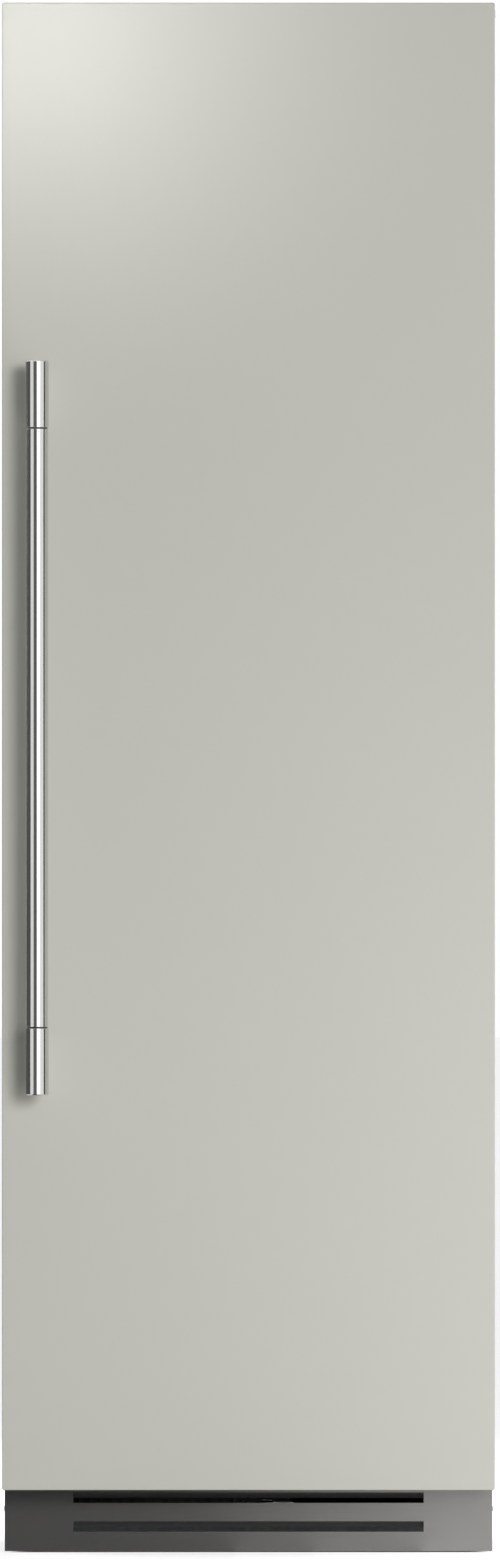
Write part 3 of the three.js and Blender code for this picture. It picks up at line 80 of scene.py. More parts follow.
HANDS = (("left", -1), ("right", 1))


# Surfaces

def mm(*sizes):
    """Sizes given in millimetres, in metres."""
    return [size * MM for size in sizes]


def filleted(points, radii, steps=FILLET_STEPS, closed=False):
    """A polyline with its corners rounded: each corner is an arc about a centre on its bisector,
    at radius / sin(half the corner's angle), with one more point on the straight at each end."""
    points = np.asarray(points, float)
    rounded = slice(None) if closed else slice(1, -1)
    corner = points[rounded]
    radius = np.broadcast_to(np.asarray(radii, float), len(points))[rounded, None]
    ways = np.stack([np.roll(points, shift, axis=0)[rounded] - corner for shift in (1, -1)])
    lengths = np.linalg.norm(ways, axis=2, keepdims=True)
    ways = ways / lengths
    half = np.arccos(np.clip(ways.prod(0).sum(1, keepdims=True), -1, 1)) / 2
    reach = radius / np.tan(half)
    bisector = ways.sum(0)
    bisector = bisector / np.linalg.norm(bisector, axis=1, keepdims=True)
    centre = corner + bisector * radius / np.sin(half)
    ends = corner + ways * reach - centre
    first, last = np.arctan2(ends[..., 1], ends[..., 0])
    turn = (last - first + np.pi) % FULL_TURN - np.pi
    angle = first[:, None] + turn[:, None] * np.linspace(0, 1, steps + 1)
    arc = centre[:, None] + radius[:, None] * np.stack([np.cos(angle), np.sin(angle)], axis=-1)
    holds = (ways * np.minimum(HOLD, HOLD_SHARE * (lengths - reach)))[:, :, None]
    rows = np.concatenate([arc[:, :1] + holds[0], arc, arc[:, -1:] + holds[1]], axis=1).reshape(-1, 2)
    return rows if closed else np.concatenate([points[:1], rows, points[-1:]])


def rounded_loops(rects, radii, steps):
    """Closed loops round rectangles of left, right, low and high: a quarter circle about each
    corner's own centre, and a point on the straight at each end of it."""
    left, right, low, high = np.asarray(rects, float).T[..., None, None]
    radii = np.asarray(radii, float)[:, None, None]
    start = np.arange(4)[:, None] * QUARTER
    stop = start + QUARTER
    angle = start + np.linspace(0, QUARTER, steps + 1)
    at_right, at_top = np.array([[1, 0, 0, 1], [1, 1, 0, 0]])[..., None]
    u = np.where(at_right, right - radii, left + radii) + radii * np.cos(angle)
    v = np.where(at_top, high - radii, low + radii) + radii * np.sin(angle)
    hold = np.minimum(HOLD, HOLD_SHARE * np.minimum(right - left, high - low))
    before = np.stack([u[..., :1] + hold * np.sin(start), v[..., :1] - hold * np.cos(start)], axis=-1)
    after = np.stack([u[..., -1:] - hold * np.sin(stop), v[..., -1:] + hold * np.cos(stop)], axis=-1)
    loops = np.concatenate([before, np.stack([u, v], axis=-1), after], axis=2)
    return loops.reshape(len(loops), -1, 2)


def on_axis(axis, across, up, along):
    """Points whose coordinate on one axis is along, with the two others in their own order."""
    parts = [across, up]
    parts.insert("xyz".index(axis), along)
    return np.stack(np.broadcast_arrays(*parts), axis=-1)


def patch(grid, circular=False):
    """A grid of points as quads. Its columns run round, and its rows too if circular, or else a
    face closes each end row. It is turned to face outwards by its signed volume."""
    rows, columns = grid.shape[:2]
    index = np.arange(rows * columns).reshape(rows, columns)
    index = np.pad(index, ((0, int(circular)), (0, 1)), mode="wrap")
    quads = np.stack([index[:-1, :-1], index[:-1, 1:], index[1:, 1:], index[1:, :-1]], axis=-1)
    faces = [quads.reshape(-1, 4)]
    if not circular:
        faces += [np.arange(columns)[None, ::-1], np.arange((rows - 1) * columns, rows * columns)[None]]
    points = grid.reshape(-1, 3)
    centred = points - points.mean(0)
    volume = 0.0
    for face in faces:
        volume += (centred[face[:, :1]] * np.cross(centred[face[:, 1:-1]], centred[face[:, 2:]])).sum()
    if volume < 0:
        faces = [face[:, ::-1] for face in faces]
    return points, faces


def stacked(axis, rects, radii, places, circular=False, steps=CORNER_STEPS):
    """Rounded rectangles set one behind another, each at its place along the axis."""
    loops = rounded_loops(rects, radii, steps)
    return patch(on_axis(axis, loops[..., 0], loops[..., 1], np.asarray(places)[:, None]), circular)


def grown(rect, by):
    """A rectangle let out by as much on each side."""
    return np.asarray(rect, float) + by * np.array([-1, 1, -1, 1])


def rimmed(rect, radius, profile, least=0.4 * MM):
    """Rows of a profile of inset and place, carried round one rounded rectangle: each row is the
    rectangle taken in by its inset, with its corner radius smaller by as much."""
    return grown(rect, -profile[:, :1]), np.maximum(radius - profile[:, 0], least), profile[:, 1]


def carried(axis, rect, radius, profile, circular=False, steps=CORNER_STEPS):
    """A profile carried round a rounded rectangle as one closed surface."""
    return stacked(axis, *rimmed(rect, radius, profile), circular, steps)


def turned(profile, centre, axis="z", sides=SIDES, circular=False):
    """A profile of radius and place turned about an axis: r cos a and r sin a across it."""
    radius, place = np.asarray(profile, float).T[..., None]
    angle = np.linspace(0, FULL_TURN, sides, endpoint=False)
    grid = on_axis(axis, radius * np.cos(angle), radius * np.sin(angle), place)
    return patch(grid + np.asarray(centre), circular)


def extruded(section, axis, start, end):
    """A closed section of two coordinates carried straight along an axis between two places."""
    across, up = np.asarray(section, float).T
    return patch(on_axis(axis, across, up, np.array([start, start + HOLD, end - HOLD, end])[:, None]))


def bar(axis, start, end, corners, bends, steps):
    """A straight bar along an axis, its section a closed polyline with its corners rounded."""
    return extruded(filleted(corners, bends, steps, closed=True), axis, start, end)


def rectangle(low, high):
    """The four corners of a rectangle, from its lowest corner and its highest."""
    return [(low[0], low[1]), (high[0], low[1]), (high[0], high[1]), (low[0], high[1])]


def ring(low, high, bend, steps, centre, axis="z", sides=SIDES):
    """A ring: a rectangle of radius and place, with its corners rounded, turned about an axis."""
    profile = filleted(rectangle(low, high), bend, steps, closed=True)
    return turned(profile, centre, axis, sides, circular=True)


def slab(rect, corner, bottom, top, lap, edge, steps):
    """A level plate: a profile that runs in from its edge by a lap below and above, carried round."""
    profile = filleted([(lap, bottom), (0, bottom), (0, top), (lap, top)], [0, edge, edge, 0], steps)
    return carried("z", rect, corner, profile)


def soft_box(low, high, radius, steps=4):
    """A box with rounded edges: a ball of that radius whose eight parts are set at the corners of
    the box's core, so that a point is core corner + radius * normal."""
    low, high = np.asarray(low, float), np.asarray(high, float)
    middle, half = (low + high) / 2, (high - low) / 2 - radius
    bend = np.linspace(0, QUARTER, steps + 1)
    round_angle = (np.arange(4)[:, None] * QUARTER + bend).ravel()
    rise = np.concatenate([bend - QUARTER, bend])
    sign_x, sign_y = np.repeat([[1, -1, -1, 1], [1, 1, -1, -1]], steps + 1, axis=1)
    sign_z = np.repeat([-1, 1], steps + 1)
    flat = np.maximum(np.cos(rise), POLE)[:, None]
    x = middle[0] + half[0] * sign_x + radius * flat * np.cos(round_angle)
    y = middle[1] + half[1] * sign_y + radius * flat * np.sin(round_angle)
    z = middle[2] + half[2] * sign_z + radius * np.sin(rise)
    return patch(on_axis("z", x, y, z[:, None]))


def tube(path, radius, sides=16):
    """A round tube along a path: at each point the circle lies across the path's direction, in a
    frame whose first side is that direction crossed with the axis it leans on least."""
    way = np.gradient(path, axis=0)
    way = way / np.linalg.norm(way, axis=1, keepdims=True)
    least = np.eye(3)[np.argmin(np.abs(way).max(axis=0))]
    first = np.cross(way, least)
    first = first / np.linalg.norm(first, axis=1, keepdims=True)
    second = np.cross(way, first)
    angle = np.linspace(0, FULL_TURN, sides, endpoint=False)[None, :, None]
    circle = first[:, None] * np.cos(angle) + second[:, None] * np.sin(angle)
    return patch(path[:, None] + radius * circle)


def moved(shape, offset):
    """The same surface set elsewhere."""
    return shape[0] + offset, shape[1]


def smoothed(path, rounds=4):
    """A path with its corners cut: each round puts two points on every span, a quarter and three
    quarters of the way along, and the ends stay."""
    path = np.asarray(path, float)
    for _ in range(rounds):
        before, after = path[:-1], path[1:]
        cuts = np.stack([0.75 * before + 0.25 * after, 0.25 * before + 0.75 * after], axis=1)
        path = np.concatenate([path[:1], cuts.reshape(-1, 3)[1:-1], path[-1:]])
    return path


# Pieces

def in_scene(name, data):
    """A new object of the scene."""
    made = bpy.data.objects.new(name, data)
    bpy.context.scene.collection.objects.link(made)
    return made


def mesh_object(name, shapes, sharp=SHARP_ANGLE):
    """One object of several surfaces, smooth but for edges sharper than an angle in degrees."""
    points, faces, base = [], [], 0
    for shape_points, shape_faces in shapes:
        points.append(shape_points)
        faces += [row for face in shape_faces for row in (face + base).tolist()]
        base += len(shape_points)
    mesh = bpy.data.meshes.new(name)
    mesh.from_pydata(np.concatenate(points).tolist(), [], faces)
    mesh.shade_smooth()
    mesh.set_sharp_from_angle(angle=math.radians(sharp))
    return in_scene(name, mesh)


def add_piece(name, shapes, finish, stands_for=(), body=None, sharp=SHARP_ANGLE):
    """Puts surfaces into one object that rides on a body and stands for CAD nodes."""
    piece = mesh_object(name, shapes, sharp)
    piece.data.materials.append(finish_named(finish))
    if stands_for:
        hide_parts(*stands_for)
    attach(piece, body or BODY_OF[stands_for[0]])
    return piece


def carve(piece, cutters):
    """Cuts closed shapes out of a piece and keeps the result as its mesh."""
    tool = mesh_object("cutter", cutters)
    modifier = piece.modifiers.new("carve", "BOOLEAN")
    modifier.operation, modifier.object, modifier.solver = "DIFFERENCE", tool, "EXACT"
    depsgraph = bpy.context.evaluated_depsgraph_get()
    carved = bpy.data.meshes.new_from_object(piece.evaluated_get(depsgraph))
    piece.modifiers.clear()
    piece.data = carved
    bpy.data.objects.remove(tool)


def sides_of(name):
    """The left, right, front, back, bottom and top of a CAD node's box."""
    return np.array(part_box(name)).T.ravel()


def joint_place(name):
    """The point on a joint's axis that the record gives."""
    return np.array(next(joint["pos_m"] for joint in frame["joints"] if joint["name"] == name))


def hinge_ends():
    """For each hinge, the way inwards along z and the hinge plate's face nearest the door's end."""
    return ((-1, sides_of("hinge_plate_top")[TOP]), (1, sides_of("hinge_plate_bottom")[BOTTOM]))


def hinge_cutters(left, right, beyond, depth, front, back):
    """For each hinge, a box from beyond the hinge plate's face to a depth inwards of it."""
    for inwards, plate in hinge_ends():
        bottom, top = sorted((plate - inwards * beyond, plate + inwards * depth))
        yield extruded(rectangle((left, bottom), (right, top)), "y", front, back)


# Finishes

def feed(node, inputs):
    """Gives each of a node's inputs the output of another node, or else a value."""
    for name, value in dict(inputs).items():
        if isinstance(value, bpy.types.NodeSocket):
            node.id_data.links.new(value, node.inputs[name])
        else:
            node.inputs[name].default_value = value


def add_node(tree, kind, inputs=(), output=0, **settings):
    """Makes a node and returns its output of that name or number."""
    node = tree.nodes.new("ShaderNode" + kind)
    for key, value in settings.items():
        setattr(node, key, value)
    feed(node, inputs)
    return node.outputs[output]


class Finish:
    """A material under making: the nodes that vary its surface shader."""

    def __init__(self, name, colour, roughness, metallic=0.0):
        """Makes the material, one colour, roughness and metallic value all over."""
        self.material = bpy.data.materials.new(name)
        self.material.use_nodes = True
        self.tree = self.material.node_tree
        self.shader = self.tree.nodes["Principled BSDF"]
        self.colour = colour[:3]
        feed(self.shader, {"Base Color": (*self.colour, 1), "Roughness": roughness, "Metallic": metallic})

    def pattern(self, kind, scale, output="Fac", stretch=(1, 1, 1), **inputs):
        """A texture on Object coordinates, stretched."""
        place = add_node(self.tree, "TexCoord", output="Object")
        place = add_node(self.tree, "Mapping", {"Vector": place, "Scale": stretch}, "Vector")
        return add_node(self.tree, kind, {"Vector": place, "Scale": scale, **inputs}, output)

    def noise(self, scale, stretch=(1, 1, 1), detail=3.0, rough=0.5):
        """Soft noise, with its scale in spots per metre."""
        return self.pattern("TexNoise", scale, "Fac", stretch, Detail=detail, Roughness=rough)

    def cells(self, scale, output="Distance"):
        """The distance to the middle of the nearest cell, or its colour."""
        return self.pattern("TexVoronoi", scale, output)

    def tones(self, source, low, high, at=(0.3, 0.7)):
        """The colour runs between two tones as the source runs between two places."""
        ramp = add_node(self.tree, "ValToRGB", {"Fac": source}, "Color")
        for element, place, colour in zip(ramp.node.color_ramp.elements, at, (low, high)):
            element.position = place
            element.color = (*colour, 1)
        feed(self.shader, {"Base Color": ramp})

    def shades(self, source, by):
        """The tones run a share darker and lighter than the finish's own colour."""
        self.tones(source, [c * (1 - by) for c in self.colour], [min(c * (1 + by), 1) for c in self.colour])

    def gloss(self, source, low, high, at=(0.3, 0.7)):
        """The roughness runs between two values as the source runs between two places."""
        spread = {"Value": source, "From Min": at[0], "From Max": at[1], "To Min": low, "To Max": high}
        feed(self.shader, {"Roughness": add_node(self.tree, "MapRange", spread, "Result")})

    def relief(self, source, depth):
        """The surface seems to rise and sink with the source, to a depth in millimetres."""
        bump = {"Height": source, "Distance": depth * MM, "Strength": 1.0}
        feed(self.shader, {"Normal": add_node(self.tree, "Bump", bump, "Normal")})


def door_steel(colours):
    """Satin sheet: a very fine vertical grain in the gloss and a faint unevenness in tone."""
    finish = Finish("door_satin_steel", colours.door, 0.42)
    grain = finish.noise(900, (1, 1, 0.02), 2)
    finish.shades(finish.noise(3, detail=2), 0.006)
    finish.gloss(grain, 0.40, 0.44)
    finish.relief(grain, 0.004)
    return finish


def polished_steel(colours):
    """Bar steel polished along its length: hairlines that run with the bar."""
    finish = Finish("polished_bar_steel", colours.handle, 0.08, 1.0)
    hairline = finish.noise(1400, (1, 1, 0.01), 2)
    finish.shades(hairline, 0.03)
    finish.gloss(hairline, 0.06, 0.1)
    finish.relief(hairline, 0.003)
    return finish


def black_rubber(colours):
    """Matte rubber with a dusty bloom."""
    finish = Finish("black_ring_rubber", (0.018, 0.018, 0.018), 0.35)
    finish.tones(finish.noise(400), (0.012, 0.012, 0.012), (0.026, 0.026, 0.027))
    finish.relief(finish.noise(2500), 0.02)
    return finish


def graphite_sheet(colours):
    """Dark sheet brushed from side to side, with the brush marks in colour, gloss and bump."""
    finish = Finish("graphite_brushed_sheet", colours.toe_kick, 0.26, 0.85)
    brush = finish.noise(900, (0.02, 1, 1), 3, 0.6)
    finish.shades(brush, 0.04)
    finish.gloss(brush, 0.255, 0.27)
    finish.relief(brush, 0.0005)
    return finish


def galvanised(colours):
    """Zinc sheet: spangle in flat cells of different grey, with dull and bright patches."""
    finish = Finish("galvanised_spangle", (0.36, 0.38, 0.39), 0.42, 0.8)
    finish.tones(finish.cells(130, "Color"), (0.315, 0.33, 0.34), (0.385, 0.4, 0.41), (0.1, 0.9))
    finish.gloss(finish.noise(25), 0.34, 0.5)
    finish.relief(finish.noise(500), 0.01)
    return finish


def painted_side(colours):
    """Powder coat on the cabinet's sides, with the skin of orange peel."""
    finish = Finish("graphite_powder_coat", colours.cabinet, 0.45, 0.2)
    finish.shades(finish.noise(6), 0.05)
    finish.gloss(finish.noise(40), 0.4, 0.5)
    finish.relief(finish.noise(900, detail=1), 0.03)
    return finish


def black_steel(colours):
    """Black enamel over steel: slight flow marks and worn gloss."""
    finish = Finish("black_enamel_steel", (0.02, 0.021, 0.022), 0.38, 0.4)
    finish.tones(finish.noise(12), (0.014, 0.015, 0.016), (0.03, 0.031, 0.032))
    finish.gloss(finish.noise(60), 0.3, 0.46)
    finish.relief(finish.noise(700), 0.02)
    return finish


def white_plastic(colours):
    """Moulded liner plastic: soft gloss over a faint waviness."""
    finish = Finish("white_liner_plastic", colours.liner, 0.35)
    finish.shades(finish.noise(4), 0.012)
    finish.gloss(finish.noise(30), 0.3, 0.4)
    finish.relief(finish.noise(1200, detail=1), 0.012)
    return finish


def grey_plastic(colours):
    """Moulded grey plastic with a spark-eroded grain."""
    finish = Finish("grey_moulded_plastic", (0.4, 0.42, 0.43), 0.5)
    finish.tones(finish.noise(8), (0.375, 0.395, 0.405), (0.425, 0.445, 0.455))
    finish.gloss(finish.noise(80), 0.44, 0.56)
    finish.relief(finish.noise(1500), 0.03)
    return finish


def black_plastic(colours):
    """Glass-filled black plastic with a leathery grain."""
    finish = Finish("black_grained_plastic", (0.018, 0.019, 0.02), 0.5)
    finish.tones(finish.noise(150), (0.014, 0.015, 0.016), (0.025, 0.026, 0.027))
    finish.gloss(finish.noise(50), 0.42, 0.56)
    finish.relief(finish.cells(700), 0.04)
    return finish


def clear_plastic(colours):
    """Clear moulded styrene: see-through, with flow lines and a frosty tint."""
    finish = Finish("clear_bin_plastic", (0.78, 0.84, 0.87), 0.1)
    feed(finish.shader, {"Alpha": 0.34})
    finish.tones(finish.noise(5), (0.74, 0.81, 0.85), (0.84, 0.89, 0.91))
    finish.gloss(finish.noise(20), 0.06, 0.15)
    finish.relief(finish.noise(60, detail=1), 0.03)
    return finish


def shelf_glass(colours):
    """Tempered plate glass with a green tint."""
    finish = Finish("shelf_plate_glass", (0.78, 0.88, 0.85), 0.04)
    feed(finish.shader, {"Alpha": 0.34})
    finish.tones(finish.noise(3), (0.72, 0.85, 0.81), (0.82, 0.91, 0.89))
    finish.gloss(finish.noise(15), 0.03, 0.06)
    return finish


def foam(colours):
    """Poured urethane foam: small closed cells under a rough skin."""
    finish = Finish("urethane_foam", (0.7, 0.58, 0.33), 0.9)
    cells = finish.cells(350)
    finish.tones(cells, (0.58, 0.46, 0.24), (0.76, 0.64, 0.38), (0.1, 0.8))
    finish.relief(cells, 0.4)
    return finish


def aluminium(colours):
    """Anodised aluminium with a fine lengthwise grain."""
    finish = Finish("anodised_aluminium", (0.6, 0.61, 0.63), 0.32, 0.9)
    grain = finish.noise(700, (0.02, 1, 1), 3)
    finish.tones(grain, (0.55, 0.56, 0.58), (0.66, 0.67, 0.69))
    finish.gloss(grain, 0.27, 0.37)
    finish.relief(grain, 0.006)
    return finish


def panel_glass(colours):
    """Black touch glass: deep gloss that varies a little."""
    finish = Finish("black_touch_glass", (0.01, 0.011, 0.012), 0.08)
    finish.tones(finish.noise(30), (0.008, 0.009, 0.01), (0.014, 0.015, 0.016))
    finish.gloss(finish.noise(12), 0.05, 0.1)
    return finish


def gasket_grey(colours):
    """Soft extruded vinyl, matte and a little uneven."""
    finish = Finish("gasket_vinyl", (0.46, 0.48, 0.49), 0.62)
    finish.tones(finish.noise(40), (0.43, 0.45, 0.46), (0.49, 0.51, 0.52))
    finish.gloss(finish.noise(60), 0.55, 0.7)
    finish.relief(finish.noise(900), 0.02)
    return finish


def light_lens(colours):
    """Frosted diffuser over the lamp, ribbed from front to back, with a mild glow of its own."""
    finish = Finish("frosted_light_lens", (0.86, 0.88, 0.9), 0.3)
    feed(finish.shader, {"Emission Color": (0.92, 0.96, 1, 1), "Emission Strength": 0.35})
    ribs = finish.pattern("TexWave", 60)
    finish.tones(ribs, (0.82, 0.84, 0.87), (0.9, 0.92, 0.94))
    finish.relief(ribs, 0.3)
    return finish


FINISHES = {finish.__name__: finish for finish in (
    door_steel, polished_steel, black_rubber, graphite_sheet, painted_side, galvanised, black_steel,
    white_plastic, grey_plastic, black_plastic, clear_plastic, shelf_glass, foam, aluminium, panel_glass,
    gasket_grey, light_lens)}
SLOTS = {name: name for name in FINISHES}
SLOTS |= {"painted_side": "graphite_sheet", "light_lens": "white_plastic"}
MADE = {}


def finish_named(name):
    """The material of that finish, made once."""
    if name not in MADE:
        MADE[name] = FINISHES[name](bpy.context.scene.freezer_colours).material
    return MADE[name]


# The CAD nodes of each finish, by how their names begin. A later line wins, as the arm's does.
NODE_FINISHES = {
    "door_steel": ("door_skin",),
    "polished_steel": ("handle_rod", "handle_mount"),
    "black_rubber": ("handle_ring",),
    "graphite_sheet": ("toe_kick", "front_rail"),
    "painted_side": ("side_panel",),
    "grey_plastic": ("ice_maker", "drain_pan"),
    "galvanised": ("top_panel", "back_panel", "rear_service_cover", "base_", "ice_maker_arm"),
    "black_steel": ("hinge_plate", "condenser_coil", "compressor"),
    "white_plastic": ("door_liner", "bin_rail", "inner_liner", "evaporator_cover", "ceiling_light"),
    "black_plastic": (
        "hinge_bush", "levelling_leg", "rear_roller", "condenser_fan", "evaporator_fan", "power_inlet"),
    "clear_plastic": ("door_bin", "drawer_box", "ice_bin"),
    "shelf_glass": ("shelf",),
    "foam": ("door_core", "insulation"),
    "aluminium": ("drawer_front", "evaporator_coil"),
    "panel_glass": ("control_panel",),
    "gasket_grey": ("door_gasket",),
}


# Sizes and colours that a user may change

class FreezerSizes(bpy.types.PropertyGroup):
    """Radii and bevels that the frame doesn't give"""
    door_edge: bpy.props.FloatProperty(
        name="Door edge", description="Radius of the door skin's front edge",
        default=1.6 * MM, min=1.3 * MM, max=6 * MM, unit="LENGTH")
    door_corner: bpy.props.FloatProperty(
        name="Door corner", description="Radius of the door skin's corners seen from the front",
        default=3 * MM, min=2.6 * MM, max=12 * MM, unit="LENGTH")
    collar_chamfer: bpy.props.FloatProperty(
        name="Collar chamfer", description="Size of the bevel at the handle's ends",
        default=0.9 * MM, min=0.5 * MM, max=5 * MM, unit="LENGTH")
    liner_corner: bpy.props.FloatProperty(
        name="Liner corner", description="Radius of the compartment's upright corners",
        default=24 * MM, min=10 * MM, max=40 * MM, unit="LENGTH")


class FreezerColours(bpy.types.PropertyGroup):
    """Colours of the surfaces that show most"""
    door: bpy.props.FloatVectorProperty(
        name="Door", description="Colour of the door's satin sheet",
        default=(0.503, 0.503, 0.456), subtype="COLOR", min=0, max=1)
    handle: bpy.props.FloatVectorProperty(
        name="Handle", description="Colour of the handle's polished steel",
        default=(0.72, 0.72, 0.705), subtype="COLOR", min=0, max=1)
    toe_kick: bpy.props.FloatVectorProperty(
        name="Toe kick", description="Colour of the toe kick's dark sheet",
        default=(0.27, 0.267, 0.26), subtype="COLOR", min=0, max=1)
    cabinet: bpy.props.FloatVectorProperty(
        name="Cabinet", description="Colour of the cabinet's painted sides",
        default=(0.09, 0.09, 0.092), subtype="COLOR", min=0, max=1)
    liner: bpy.props.FloatVectorProperty(
        name="Liner", description="Colour of the moulded liners",
        default=(0.82, 0.83, 0.84), subtype="COLOR", min=0, max=1)


# Operators

class FREEZER_OT_finishes(bpy.types.Operator):
    """Gives each CAD node its finish"""
    bl_idname = "freezer.finishes"
    bl_label = "Finishes"

    def execute(self, context):
        for finish, beginnings in NODE_FINISHES.items():
            for name, node in NODES.items():
                if name.startswith(beginnings):
                    node.data.materials.clear()
                    node.data.materials.append(finish_named(finish))
        return {"FINISHED"}


class FREEZER_OT_handle(bpy.types.Operator):
    """Turns the bar handle: a rod between two mounts, with a ring at each joint"""
    bl_idname = "freezer.handle"
    bl_label = "Handle"

    def execute(self, context):
        left, right, front, back, bottom, top = sides_of("handle_rod")
        centre = ((left + right) / 2, (front + back) / 2, 0)
        radius, spigot, gap = (right - left) / 2, *mm(8, 0.3)
        lower = sides_of("handle_ring_bottom")[TOP] + gap
        upper = sides_of("handle_ring_top")[BOTTOM] - gap
        rod = filleted([
            (spigot / 2, bottom), (spigot, bottom), (spigot, lower), (radius, lower), (radius, upper),
            (spigot, upper), (spigot, top), (spigot / 2, top)], 0.15 * MM, 4)
        add_piece("handle_bar", [turned(rod, centre, sides=FINE_SIDES)], "polished_steel", ["handle_rod"])
        bore = spigot + gap
        for end in ("top", "bottom"):
            self.mount(end, centre, bore, context.scene.freezer_sizes.collar_chamfer)
            left, right, _, _, bottom, top = sides_of("handle_ring_" + end)
            joint = ring((bore, bottom), ((right - left) / 2, top), 0.3 * MM, 3, centre)
            add_piece("handle_joint_" + end, [joint], "black_rubber", ["handle_ring_" + end])
        return {"FINISHED"}

    def mount(self, end, centre, bore, chamfer):
        """A collar turned about the rod's axis, and a post with a foot that carries it."""
        left, right, _, foot, bottom, top = sides_of("handle_mount_" + end)
        tip, mouth, inwards = (top, bottom, -1) if end == "top" else (bottom, top, 1)
        radius = (right - left) / 2
        depth, half, corner, margin, lap = mm(20, 12, 11.9, 3, 9)
        inset, start, flare, plate = mm(2.5, 4, 3.2, 2.2)
        well = mouth - inwards * depth
        collar = filleted([
            (radius / 3, tip), (radius - chamfer, tip), (radius, tip + inwards * chamfer), (radius, mouth),
            (bore, mouth), (bore, well), (bore / 2, well)], mm(0, 0.4, 0.4, 0.15, 0.3, 0.3, 0))
        start += centre[1]
        profile = filleted([
            (lap, start), (inset, start), (inset, foot - flare), (0, foot - plate), (0, foot), (lap, foot),
        ], mm(0, 0, 0.8, 0.6, 0.3, 0), 4)
        ends = sorted((tip + inwards * margin, mouth - inwards * margin))
        post = carried("y", (centre[0] - half, centre[0] + half, *ends), corner, profile)
        shapes = [turned(collar, centre, sides=FINE_SIDES), post]
        add_piece("handle_collar_" + end, shapes, "polished_steel", ["handle_mount_" + end])


class FREEZER_OT_door_skin(bpy.types.Operator):
    """Folds the door's satin sheet: a tray with a rounded front edge, notched at both hinges"""
    bl_idname = "freezer.door_skin"
    bl_label = "Door skin"

    def execute(self, context):
        box = sides_of("door_skin")
        right, front, back = box[[RIGHT, FRONT, BACK]]
        edge, sheet, lap, crisp = context.scene.freezer_sizes.door_edge, *mm(1.2, 9, 0.4)
        inner = front + sheet
        profile = filleted([
            (lap, front), (0, front), (0, back), (sheet, back), (sheet, inner), (lap, inner),
        ], [0, edge, crisp, crisp, edge - sheet, 0], 8)
        tray = carried("y", box[FROM_FRONT], context.scene.freezer_sizes.door_corner, profile)
        skin = add_piece("door_shell", [tray], "door_steel", ["door_skin"])
        width, past, beyond, depth, overrun = mm(4.2, 3, 1, 11, 20)
        left, right = right - width, right + past
        carve(skin, hinge_cutters(left, right, beyond, depth, inner + edge, back + overrun))
        return {"FINISHED"}


class FREEZER_OT_door_inside(bpy.types.Operator):
    """Moulds the door's liner with its plateau and runs the gasket's bellows round it"""
    bl_idname = "freezer.door_inside"
    bl_label = "Door liner and gasket"

    def execute(self, context):
        self.liner()
        self.gasket()
        self.rails()
        return {"FINISHED"}

    def liner(self):
        """A flange and a plateau in one run of rounded rectangles, with a pocket at each hinge."""
        box = sides_of("door_liner")
        right, rim, top = box[[RIGHT, FRONT, BACK]]
        wall, rise, lip, shelf, slope, reach, moat = mm(2.5, 9, 4, 10, 5, 60, 8)
        corner, plateau_corner, least, margin, pocket, past = mm(3, 18, 6, 24, 12.3, 3)
        seat = top - rise
        flange = filleted([
            (wall + lip, seat - wall), (wall, seat - wall), (wall, rim), (0, rim), (0, seat), (shelf, seat),
        ], mm(0, 0.4, 0.4, 0.4, 2.4, 0), 6)
        raised = filleted([(-moat, seat), (0, seat), (slope, top), (reach, top)], mm(0, 3, 5, 0), 6)
        plateau = grown(sides_of("door_gasket")[FROM_FRONT], -margin)
        rows = [rimmed(box[FROM_FRONT], corner, flange), rimmed(plateau, plateau_corner, raised, least)]
        shape = stacked("y", *(np.concatenate(parts) for parts in zip(*rows)))
        liner = add_piece("door_moulding", [shape], "white_plastic", ["door_liner"])
        left = sides_of("hinge_bush_top")[LEFT] - pocket
        beyond, depth, overrun = mm(14, 13.6, 5)
        carve(liner, hinge_cutters(left, right + past, beyond, depth, rim - overrun, top + overrun))

    def gasket(self):
        """A bellows with a foot and a magnet's pocket: half its section, then the same mirrored."""
        box = sides_of("door_gasket")
        foot, face = box[[FRONT, BACK]]
        width, lip, magnet, neck, fold, bulge, edge, step = mm(20, 2, 4.6, 6.2, 3.4, 6.4, 1.6, 1)
        fold_share = 0.38
        half = [
            (0, foot), (0, foot + lip), (neck, foot + lip), (fold, foot + (face - foot) * fold_share),
            (bulge, face - magnet - step), (edge, face - magnet), (edge, face)]
        section = half + [(width - inset, place) for inset, place in reversed(half)]
        bellows = filleted(section, 0.5 * MM, 4, closed=True)
        shape = carried("y", box[FROM_FRONT], 3 * MM, bellows, circular=True, steps=3)
        add_piece("door_seal", [shape], "gasket_grey", ["door_gasket"], sharp=60)

    def rails(self):
        """Upright rails with chamfered backs, and a step under each bin's rim."""
        seats = [sides_of(f"door_bin_{index}")[TOP] - TUB_RIM for index in BINS]
        width, depth, taper, ledge, start, length = mm(22, 50, 7, 5, 0.3, 36.3)
        for place, side in HANDS:
            box = sides_of("bin_rail_" + place)
            face, outer = box[FRONT], box[RIGHT if side > 0 else LEFT]
            inner = outer - side * width
            shapes = [bar("z", box[BOTTOM], box[TOP], [
                (inner, face), (outer, face), (outer - side * taper, face + depth - taper),
                (outer - side * 2 * taper, face + depth), (inner, face + depth),
            ], mm(0.5, 0.5, 2, 2, 2), 4)]
            within, without = inner + side * ledge, inner - side * ledge
            for seat in seats:
                shapes.append(bar("y", face + start, face + length, [
                    (within, seat - 2 * ledge), (within, seat), (without, seat), (without, seat - ledge),
                    (inner, seat - 2 * ledge)], 0.6 * MM, 3))
            add_piece("bin_rack_" + place, shapes, "white_plastic", ["bin_rail_" + place])


